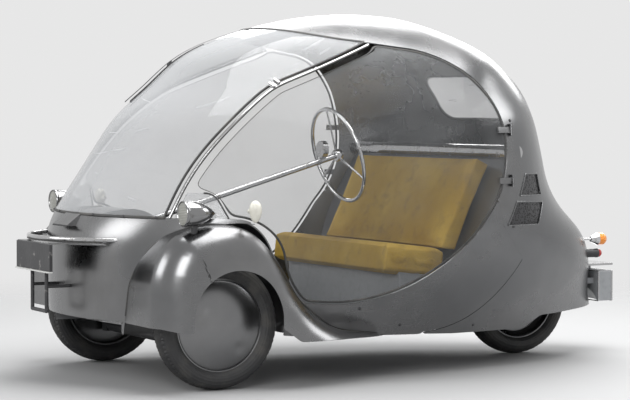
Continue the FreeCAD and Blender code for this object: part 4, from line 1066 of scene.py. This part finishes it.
def on_tail(x, z):
    """Points and outward directions at the rear over (x, z), by halving the bearing."""
    s = np.interp(-z, -Z_TABLE, S_TABLE)
    bearing = halved(np.ones_like(x), np.full_like(x, 3.0), lambda turn: body_point(s, turn)[..., 0] > x, 26)
    return body_point(s, bearing), body_normal(s, bearing)


window_turn = np.linspace(0, 2 * np.pi, 120, endpoint=False)
across, above = np.cos(window_turn), np.sin(window_turn)
window_x = np.sign(across) * (WINDOW_HALF - WINDOW_ROUND) + WINDOW_ROUND * across
window_z = WINDOW_Z + np.sign(above) * (WINDOW_TALL - WINDOW_ROUND) + WINDOW_ROUND * above
window_loop = even(np.stack([window_x, window_z], -1), 130)
window_seal = swept(*on_tail(*window_loop.T), flat_oval(0.007, 0.004), True)
corner_seal = swept(*on_side(*CORNER_EDGE.T), flat_oval(0.0030, 0.0030))
seals = joined(cowl, prow, window_seal, both(seal, dark_edge, corner_seal))
piece("pane_seals", seals, BLACK_RUBBER, "rubber_seal")

# A latch sits on each pillar's knee, and small clips hold the screen to the cowl.
def plate_on(place, up, along, size):
    """A small block that lies on the body: along, across and out are its three sizes."""
    along = unit(along - up * (along * up).sum())
    across = np.cross(up, along)
    signs = np.array([(a, b, c) for a in (-0.5, 0.5) for b in (-0.5, 0.5) for c in (-0.1, 1.0)])
    return place + signs @ np.array([along * size[0], across * size[1], up * size[2]]), BOX_FACES


(knee,), (knee_up,) = on_side([0.262], [1.086], 0.003)
rise = np.array([0.0, 0.8, 0.6])
latch = [plate_on(knee, knee_up, rise, (0.040, 0.022, 0.006))]
latch += [plate_on(knee + rise * shift, knee_up, rise, (0.009, 0.030, 0.013)) for shift in (-0.012, 0.012)]
piece("pillar_latches", both(*latch), BRIGHT, "bright_tube", bevel=0.0012)
clips = []
for share in (-0.93, -0.62, -0.28, 0.28, 0.62, 0.93):
    place, up = body_point(cowl_s, share * cowl_end), body_normal(cowl_s, share * cowl_end)
    clips.append(plate_on(place + up * 0.002, up, UP, (0.009, 0.009, 0.005)))
piece("cowl_clips", joined(*clips), DARK, "dark_paint", bevel=0.001)

# Round-headed bolts, as flat domes on the body over (y, z).
head_profile = [(-0.003, 0.0), (-0.003, 0.0062), (0.0005, 0.0062), (0.0022, 0.0045), (0.0030, 0.0)]
head, head_faces = turned(head_profile, (0, 0, 0), "z", 16)
bolts = []
for y, z in ((0.553, 0.271), (0.750, 0.200), (1.104, 0.180), (1.177, 0.960), (1.186, 0.560), (-0.230, 0.300)):
    (place,), (up,) = on_side([y], [z])
    first = unit(np.cross(up, UP))
    bolts.append((head @ np.array([first, np.cross(up, first), up]) + place, head_faces))
piece("body_bolts", both(*bolts), DARK, "dark_paint")


# ---------------------------------------------------------------- vents
share = np.linspace(0, 1, 14)
u, v = np.meshgrid(share, share)
corner_shares = np.stack([(1 - u) * (1 - v), u * (1 - v), u * v, (1 - u) * v], -1)
sheets, frames = [], []
for vent in VENTS:
    spot = corner_shares @ vent
    sheets.append((on_side(spot[..., 0], spot[..., 1], -0.004)[0], grid_faces(14, 14)[:, ::-1].tolist()))
    frames.append(swept(*on_side(*even(vent, 90).T), flat_oval(0.0030, 0.0022, 10), True))
piece("vent_mesh_sheets", both(*sheets), MESH_SHEET, "vent_mesh", ["side_vents"], thick=0.001)
piece("vent_frames", both(*frames), ALUMINIUM, "vent_mesh")


# ---------------------------------------------------------------- wheels
def tyre_profile():
    """Tyre section as (along, radius): bead, bulged side with raised rings, crowned tread."""
    side = arc((-0.036, 0.168), (-0.0485, 0.200), (-0.033, 0.2260), 26)
    rings = 0.0009 * (np.cos(side[:, 1] * 2 * np.pi / 0.0105) > 0.3)
    rings *= (side[:, 1] > 0.178) & (side[:, 1] < 0.222)
    side = side + np.stack([-rings, np.zeros_like(rings)], -1)
    tread = arc((-0.033, 0.2260), (0.0, 0.2318), (0.033, 0.2260), 48)
    left = np.vstack([[(-0.034, 0.163), (-0.036, 0.168)], side])
    return np.vstack([left, tread, (left * (-1, 1))[::-1][1:]])


def make_tyre(centre):
    """The tyre spun round its axle; grooves are where a zigzag over the tread is low."""
    points, faces = turned(tyre_profile(), (0, 0, 0), "x", 240)
    x, y, z = np.moveaxis(points, -1, 0)
    radius, turn = np.hypot(y, z), np.arctan2(z, y)
    zigzag = 0.0035 * np.abs(np.mod(turn * 40 / np.pi, 2) - 1)
    grooves = np.array([0.0035, 0.0135, 0.0225])[:, None, None]
    lines = np.min(np.abs(np.abs(x)[None] - zigzag[None] - grooves), 0)
    bars = (np.abs(x) > 0.026) & (np.mod(turn * 45 / np.pi, 1) < 0.32)
    depth = 0.004 * np.clip(1 - lines / 0.0022, 0, 1) + 0.003 * bars
    depth = depth * (radius > 0.222)
    scale = (radius - depth) / radius
    return np.stack([x, y * scale, z * scale], -1) + centre, faces


def disc_profile(front):
    """Wheel section as (along, radius): bored hub, disc, well and rolled rim, and a domed cap in front."""
    bore = 0.01255 if front else 0.01105
    path = [
        (-0.030, bore), (-0.030, 0.030), (-0.028, 0.032), (-0.008, 0.032), (-0.008, 0.060), (-0.014, 0.100),
        (-0.012, 0.140), (-0.018, 0.156), (-0.034, 0.158), (-0.0365, 0.161), (-0.036, 0.166), (-0.034, 0.1675),
        (0.034, 0.1675), (0.0365, 0.166), (0.037, 0.162),
    ]
    if not front:
        return np.array(path + [
            (0.034, 0.158), (0.014, 0.155), (0.004, 0.140), (0.008, 0.110), (0.002, 0.060), (0.002, 0.032),
            (0.028, 0.032), (0.030, 0.030), (0.030, bore),
        ])
    dome = arc((0.0385, 0.1585), (0.0625, 0.085), (0.0695, 0.0), 40)
    return np.vstack([path, [(0.0355, 0.1605), (0.0345, 0.1600), (0.0370, 0.1595)], dome])


def cap_dents(points, centre):
    """Pushes a few soft hollows into the cap: each is a bell over the distance from its middle."""
    spots = ((0.030, 0.020, 0.045), (-0.075, 0.060, 0.030), (0.070, -0.080, 0.035))
    side = np.sign(centre[0])
    for y, z, width in spots:
        away = np.hypot(points[..., 1] - centre[1] - y, points[..., 2] - centre[2] - z)
        outer = (points[..., 0] - centre[0]) * side > 0.036
        points[..., 0] -= side * outer * 0.0035 * np.exp(-(away / width) ** 2 * 3)
    return points


for name, x, y, body, side in (
    ("front_left", TRACK / 2, 0.0, "wheel_l", 1),
    ("front_right", -TRACK / 2, 0.0, "wheel_r", -1),
    ("rear", 0.0, WHEELBASE, "wheel_back", 1),
):
    centre, front = np.array([x, y, TYRE_R]), name != "rear"
    piece("tyre_" + name + "_tread", make_tyre(centre), TYRE, "tyre_rubber", ["tyre_" + name], body, sharp=30)
    points, faces = turned(disc_profile(front), centre, "x", 96, side)
    if front:
        points = cap_dents(points, centre)
    piece("disc_" + name, (points, faces), CAP_METAL, "cap_aluminium", ["wheel_" + name], body, sharp=35)

# ---------------------------------------------------------------- running gear and closed-in blocks
for node in ("front_axle", "rear_fork", "motor_block", "steering_gear", "pedals"):
    dressed(node, DARK, 0.0015)
for side, letter in (("left", "l"), ("right", "r")):
    dressed("knuckle_" + side, DARK, 0.0015, "knuckle_" + letter)
    dressed("door_hinge_" + side, ALUMINIUM, 0.0006, "door_" + letter)
dressed("hinge_brackets", ALUMINIUM, 0.0006)
dressed("battery_block", DARK, 0.006)
dressed("floor_pan", FLOOR_METAL)
dressed("bulkhead_shelf", FLOOR_METAL)
dressed("seat_base", GREY_PAINT, 0.003)
dressed("steering_column", BRIGHT, 0.0008)
dressed("wiper", DARK, 0.0004)
dressed("nose_guard", DARK, 0.001)


# ---------------------------------------------------------------- nose and tail fittings
def box(low, high):
    """The six sides of an upright box."""
    (x0, y0, z0), (x1, y1, z1) = low, high
    return [(x, y, z) for x in (x0, x1) for y in (y0, y1) for z in (z0, z1)], BOX_FACES


PLATE_HALF, PLATE_FACE, PLATE_LOW, SHELF_Z = 0.1675, -0.494, 0.413, 0.511
PLATE_REAR = PLATE_FACE + 0.012
BAR_R, BAR_Z = 0.390, 0.531
BAR_CENTRE = PLATE_REAR + BAR_R
piece("plate_board", box((-PLATE_HALF, PLATE_FACE, PLATE_LOW), (PLATE_HALF, PLATE_REAR, SHELF_Z)),
      DARK, "dark_paint", ["front_plate"], bevel=0.001)
lip = box((-PLATE_HALF, PLATE_FACE - 0.008, PLATE_LOW - 0.005), (PLATE_HALF, PLATE_REAR, PLATE_LOW))
piece("plate_lip", lip, PALE_PAINT, "dark_paint", ["front_plate"], bevel=0.0008)

# The shelf fills the room between the bar and the nose.
nose_s = np.interp(-SHELF_Z, -Z_TABLE, S_TABLE)
nose_line = body_point(nose_s, np.linspace(0, 0.9, 120))
shelf_x = np.linspace(-0.300, 0.300, 90)
shelf_front = BAR_CENTRE - np.sqrt((BAR_R - 0.006) ** 2 - shelf_x ** 2)
shelf_front = np.where(np.abs(shelf_x) < PLATE_HALF, PLATE_FACE + 0.004, shelf_front)
shelf_rear = np.interp(np.abs(shelf_x), nose_line[:, 0], nose_line[:, 1]) + 0.002
shelf_y = shelf_front + (shelf_rear - shelf_front) * np.linspace(0, 1, 8)[:, None]
shelf = np.stack(np.broadcast_arrays(shelf_x, shelf_y, SHELF_Z + 0.003), -1)
piece("nose_shelf", (shelf, grid_faces(8, 90).tolist()), ALUMINIUM, "body_aluminium", thick=0.003)

# The air flap is a wedge whose lip stands off the nose.
flap_loop = np.array([
    (-0.388, 0.5745), (-0.3845, 0.5705), (-0.300, 0.5705), (-0.300, 0.6148), (-0.336, 0.6148),
])
flap_points = np.stack([np.concatenate([np.full((5, 1), x), flap_loop], 1) for x in (-0.070, 0.070)])
flap_faces = [(0, 1, 2, 3, 4), (9, 8, 7, 6, 5)] + [(k, k + 5, (k + 1) % 5 + 5, (k + 1) % 5) for k in range(5)]
piece("air_flap", (flap_points, flap_faces), ALUMINIUM, "body_aluminium", ["nose_flap"], bevel=0.0008)
# A dark strip under the flap's lip is painted shade for the shadowed gap beneath it.
flap_shade_strip = box((-0.071, -0.389, 0.5690), (0.071, -0.376, 0.5730))
piece("air_flap_shade_strip", flap_shade_strip, DARK, "dark_paint", bevel=0.0008)

# The bar is bright, with a dark strip along its underside: painted shade for the bar's shaded underside.
dressed("nose_bar", BRIGHT)
bar_turn = np.linspace(-0.86, 0.86, 90)
bar_line = np.stack([
    BAR_R * np.sin(bar_turn), BAR_CENTRE - BAR_R * np.cos(bar_turn), np.full(90, BAR_Z - 0.0085),
], -1)
piece("nose_bar_underside_shade", swept(bar_line, UP, flat_oval(0.0070, 0.0030)), BLACK_RUBBER, "rubber_seal")

# The rear plate's box hangs below its hood, with a bright rim round its face.
REAR_HALF, REAR_FACE, REAR_LOW, REAR_TOP, HOOD_Z = 0.165, 1.988, 0.216, 0.338, 0.362
dressed("rear_plate_box", GREY_PAINT, 0.002)
piece("rear_hood", box((-0.1515, 1.746, HOOD_Z - 0.001), (0.1515, 1.9980, HOOD_Z + 0.0088)),
      BRIGHT, "bright_tube", bevel=0.001)
corners = [(-REAR_HALF, REAR_LOW), (REAR_HALF, REAR_LOW), (REAR_HALF, REAR_TOP), (-REAR_HALF, REAR_TOP)]
rim_x, rim_z = even(np.array(corners), 160).T
rims = []
for y in (REAR_FACE - 0.004, REAR_FACE - 0.070):
    line = np.stack([rim_x, np.full(160, y), rim_z], -1)
    rims.append(swept(line, np.array([0.0, 1.0, 0.0]), flat_oval(0.0022, 0.0032, 10), True))
piece("rear_box_rims", joined(*rims), BRIGHT, "bright_tube")

# Amber lamps ride on thin stalks, and dark red-lensed cases lie below them.
LAMP_X, STALK_Y, STALK_Z, CASE_Y, CASE_Z = 0.200, 1.770, 0.474, 1.740, 0.417
stalk_profile = [
    (-0.030, 0.0), (-0.030, 0.005), (0.079, 0.005), (0.080, 0.011), (0.094, 0.017), (0.107, 0.0235),
    (0.110, 0.0255), (0.1115, 0.0255), (0.1115, 0.0),
]
amber_profile = [
    (0.1105, 0.0), (0.1105, 0.0240), (0.130, 0.0250), *arc((0.130, 0.0250), (0.1477, 0.0177), (0.155, 0.0), 14),
]
case_profile = [
    (0.0, 0.0), (0.0, 0.012), (0.006, 0.0165), (0.012, 0.0172), (0.132, 0.0172), (0.134, 0.0185),
    (0.142, 0.0185), (0.1425, 0.0),
]
red_profile = [
    (0.1420, 0.0), (0.1420, 0.0165), (0.146, 0.0170), *arc((0.146, 0.0170), (0.158, 0.0120), (0.163, 0.0), 12),
]
for name, profile, y, z, finish, slot, node in (
    ("indicator_stalks", stalk_profile, STALK_Y, STALK_Z, CHROME, "bright_tube", "tail_lamps"),
    ("indicator_lenses", amber_profile, STALK_Y, STALK_Z, AMBER, "lamp_amber", "tail_lenses"),
    ("red_lamp_cases", case_profile, CASE_Y, CASE_Z, DARK, "dark_paint", "tail_lamps"),
    ("red_lamp_lenses", red_profile, CASE_Y, CASE_Z, RED, "lamp_amber", "tail_lenses"),
):
    piece(name, both(turned(profile, (LAMP_X, y, z), "y", 48)), finish, slot, [node])

# Two bright ribs run along the floor.
rib_y = np.linspace(-0.05, 0.72, 40)
ribs = []
for x in (-0.10, 0.10):
    line = np.stack([np.full(40, x), rib_y, np.full(40, 0.1985)], -1)
    ribs.append(swept(line, UP, flat_oval(0.012, 0.005)))
piece("floor_ribs", joined(*ribs), BRIGHT, "floor_aluminium")

# The front of the luggage shelf is a rolled, bright tube from side to side.
ROLL_Y, ROLL_Z, ROLL_R = 1.2120, 0.8380, 0.0286
roll_end = body_side_x([ROLL_Y], [ROLL_Z])[0] - 0.010
roll_x = np.linspace(-roll_end, roll_end, 60)
roll = np.stack([roll_x, np.full(60, ROLL_Y), np.full(60, ROLL_Z)], -1)
piece("shelf_roll", swept(roll, UP, circle(ROLL_R, 28)), BRIGHT, "floor_aluminium")

# ---------------------------------------------------------------- seat
def cushion(name, node, cap):
    """A stuffed pad: the solid's copy is shrunk, remeshed, blown up as cloth and kept near its start.

    Each point of the copy moves 10 mm towards the middle, and no point of the
    blown pad stays further than cap from where it began.
    """
    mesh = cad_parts[node].data.copy()
    made = added(name, mesh)
    work = merged(mesh)
    middle = sum((v.co for v in work.verts), Vector()) / len(work.verts)
    for vertex in work.verts:
        away = vertex.co - middle
        vertex.co = middle + away * (1 - 0.010 / max(away.length, 0.03))
    work.to_mesh(mesh)
    work.free()
    mesh.remesh_voxel_size = 0.010
    bpy.context.view_layer.objects.active = made
    made.select_set(True)
    bpy.ops.object.voxel_remesh()
    start = np.array([v.co for v in made.data.vertices])
    cloth = made.modifiers.new("cloth", "CLOTH")
    cloth.settings.use_pressure = True
    cloth.settings.uniform_pressure_force = 4.0
    cloth.settings.effector_weights.gravity = 0.0
    cloth.settings.quality = 6
    for step in range(1, 21):
        bpy.context.scene.frame_set(step)
    bpy.ops.object.modifier_apply(modifier="cloth")
    moved = np.array([v.co for v in made.data.vertices]) - start
    size = np.linalg.norm(moved, axis=1, keepdims=True)
    moved *= np.minimum(1.0, cap / np.maximum(size, 1e-9))
    made.data.vertices.foreach_set("co", (start + moved).astype(np.float32).ravel())
    bpy.context.scene.frame_set(1)
    made.select_set(False)
    made.data.shade_smooth()
    soft = made.modifiers.new("soft", "SUBSURF")
    soft.levels = soft.render_levels = 1
    placed(made, CLOTH, "chassis", [node])


cushion("bench_cushion", "seat_cushion", 0.014)
cushion("bench_back", "seat_back", 0.012)

# ---------------------------------------------------------------- steering wheel
HELM = np.array([0.264, 0.634, 0.827])
SLOPE = math.radians(16.4)
# Across the steering wheel, up it and along its column.
HELM_AXES = np.array([
    (1.0, 0.0, 0.0), (0.0, -math.sin(SLOPE), math.cos(SLOPE)), (0.0, math.cos(SLOPE), math.sin(SLOPE)),
])
HELM_R = 0.181


def on_helm(shape):
    """A shape measured from the steering wheel's centre, set on its column."""
    return np.asarray(shape[0], float) @ HELM_AXES + HELM, shape[1]


# Measured so, the column runs along UP.
turn = np.linspace(0, 2 * np.pi, 120, endpoint=False)
rim_line = np.stack([HELM_R * np.cos(turn), HELM_R * np.sin(turn), np.zeros(120)], -1)
parts = [swept(rim_line, UP, circle(0.0075, 16), True)]
for angle in np.radians((90, 210, 330)):
    reach = np.array([0.012, 0.090, HELM_R])
    line = through(np.stack([reach * np.cos(angle), reach * np.sin(angle), (-0.006, -0.002, 0.0)], -1), 8)
    parts.append(swept(line, UP, circle(0.0045, 10, 0.7)))
hub_profile = [(-0.017, 0.0), (-0.017, 0.020), (-0.012, 0.023), (0.006, 0.023), (0.013, 0.018), (0.017, 0.0)]
shaft_profile = [(-0.830, 0.0), (-0.830, 0.006), (-0.010, 0.006), (-0.010, 0.0)]
parts += [turned(hub_profile, (0, 0, 0), "z", 40), turned(shaft_profile, (0, 0, 0), "z", 20)]
piece("steering_wheel_rim", on_helm(joined(*parts)), CHROME, "bright_tube", ["steering_wheel"], "helm")

# ---------------------------------------------------------------- headlamps
LAMP = np.array([0.612, -0.176, 0.634])
bowl_profile = [
    (0.006, 0.0), (0.006, 0.0405), (0.001, 0.0410), (-0.001, 0.0430), (0.001, 0.0450), (0.006, 0.0456),
    (0.011, 0.0450), (0.012, 0.0440), *arc((0.012, 0.0442), (0.0762, 0.0354), (0.128, 0.0), 30),
]
pair("headlamp_bowl", turned(bowl_profile, LAMP, "y", 72), LAMP_SHELL, "bright_tube", "headlamp")
foot_line = LAMP + np.array([(0.0, 0.046, -0.030), (-0.002, 0.047, -0.060), (-0.008, 0.048, -0.100)])
foot = tube(foot_line, 0.012, 20)
piece("headlamp_feet", both(foot), DARK, "dark_paint")
lens_profile = [
    (-0.0035, 0.0), *arc((-0.0035, 0.0), (-0.002, 0.022), (0.002, 0.0400), 12),
    (0.0035, 0.0400), (0.0035, 0.0),
]
lenses = both(turned(lens_profile, LAMP, "y", 48))
piece("headlamp_glasses", lenses, LAMP_GLASS, "lamp_glass", ["headlamp_lenses"])

# ---------------------------------------------------------------- door knobs
KNOB = np.array([0.700, 0.065, 0.641])
turn = np.linspace(0, np.pi, 30)
egg = np.stack([-0.039 * np.cos(turn), 0.022 * np.sin(turn) * (1 - 0.14 * np.cos(turn))], -1)
stem = tube([KNOB - (0.050, 0.0, 0.0), KNOB - (0.010, 0.0, 0.0)], 0.007)
knob = joined(turned(egg, KNOB, "z", 40), stem)
pair("door_knob_egg", knob, IVORY, "knob_white", "door_knob", ("door_l", "door_r"))

# ---------------------------------------------------------------- floor, light and camera
def studio_floor():
    """A pale floor that fades into the pale background away from the car."""
    finish = Finish("studio_floor")
    mottle = finish.noise(0.8, 2.0)
    base = finish.blend(mottle * 0.1, grey(0.40), rgb(0.38, 0.38, 0.39))
    ground = finish.shader(Base_Color=base, Roughness=0.8)
    away = finish.node("BsdfTransparent", {}, {})
    finish.show(finish.node("MixShader", {}, {0: finish.reach().step(1.6, 5.0), 1: ground, 2: away}))
    mesh = bpy.data.meshes.new("studio_floor")
    mesh.from_pydata([(-8, -8, 0), (8, -8, 0), (8, 8, 0), (-8, 8, 0)], [], [(0, 1, 2, 3)])
    mesh.materials.append(finish.material)
    floor = added("studio_floor", mesh)


def soft_light(name, place, target, size, power):
    """A rectangular lamp at a place that looks at a target."""
    light = bpy.data.lights.new(name, "AREA")
    light.shape = "RECTANGLE"
    light.size, light.size_y = size
    light.energy = power
    lamp = added(name, light)
    lamp.visible_camera = False
    lamp.location = place
    lamp.rotation_euler = (Vector(target) - Vector(place)).to_track_quat("-Z", "Y").to_euler()


def set_world():
    """Plain grey light, which the camera, mirrors and clear panes see as a paler backdrop."""
    world = bpy.context.scene.world = bpy.data.worlds.new("studio")
    sky = Finish("studio", world)
    kinds = ("Is Camera Ray", "Is Glossy Ray", "Is Transmission Ray")
    rays = [sky.node("LightPath", {}, {}, kind) for kind in kinds]
    plain = sky.node("Background", {}, {"Color": rgb(0.9, 0.92, 0.95), "Strength": 0.45})
    pale = sky.node("Background", {}, {"Color": grey(0.80), "Strength": 1.0})
    mix = sky.node("MixShader", {}, {0: rays[0].max(rays[1]).max(rays[2]), 1: plain, 2: pale})
    sky.node("OutputWorld", {}, {"Surface": mix})


def set_camera():
    """A long lens, low and off to the left of the car's front."""
    data = bpy.data.cameras.new("camera")
    data.sensor_width = 36.0
    data.lens = 123.966
    data.clip_start, data.clip_end = 0.1, 200.0
    camera = added("camera", data)
    azimuth, elevation, roll = (math.radians(a) for a in (61.682, 2.293, 0.150))
    back = Vector((
        math.sin(azimuth) * math.cos(elevation), -math.cos(azimuth) * math.cos(elevation), math.sin(elevation),
    ))
    level = (-back).cross(Vector((0, 0, 1))).normalized()
    above = level.cross(-back)
    right = level * math.cos(roll) + above * math.sin(roll)
    up = above * math.cos(roll) - level * math.sin(roll)
    camera.matrix_world = Matrix((right, up, back)).transposed().to_4x4()
    camera.location = Vector((7.4597, -3.3417 + FRONT_AXLE, 0.9856))
    bpy.context.scene.camera = camera


studio_floor()
set_world()
soft_light("top", (0.4, 0.3, 4.2), (0, 0.1, 0.6), (3.4, 4.4), 265)
soft_light("key", (4.5, -3.6, 2.8), (0, 0, 0.6), (2.4, 2.4), 120)
soft_light("front", (-1.6, -5.2, 2.6), (0, 0, 0.6), (2.6, 2.0), 90)
soft_light("rim", (1.5, 5.0, 3.4), (0, 0, 0.7), (3.0, 2.0), 90)
soft_light("crown", (-3.6, 3.2, 3.4), (0, 0.2, 1.0), (4.6, 2.6), 190)
set_camera()
bpy.context.scene.view_settings.view_transform = "Standard"
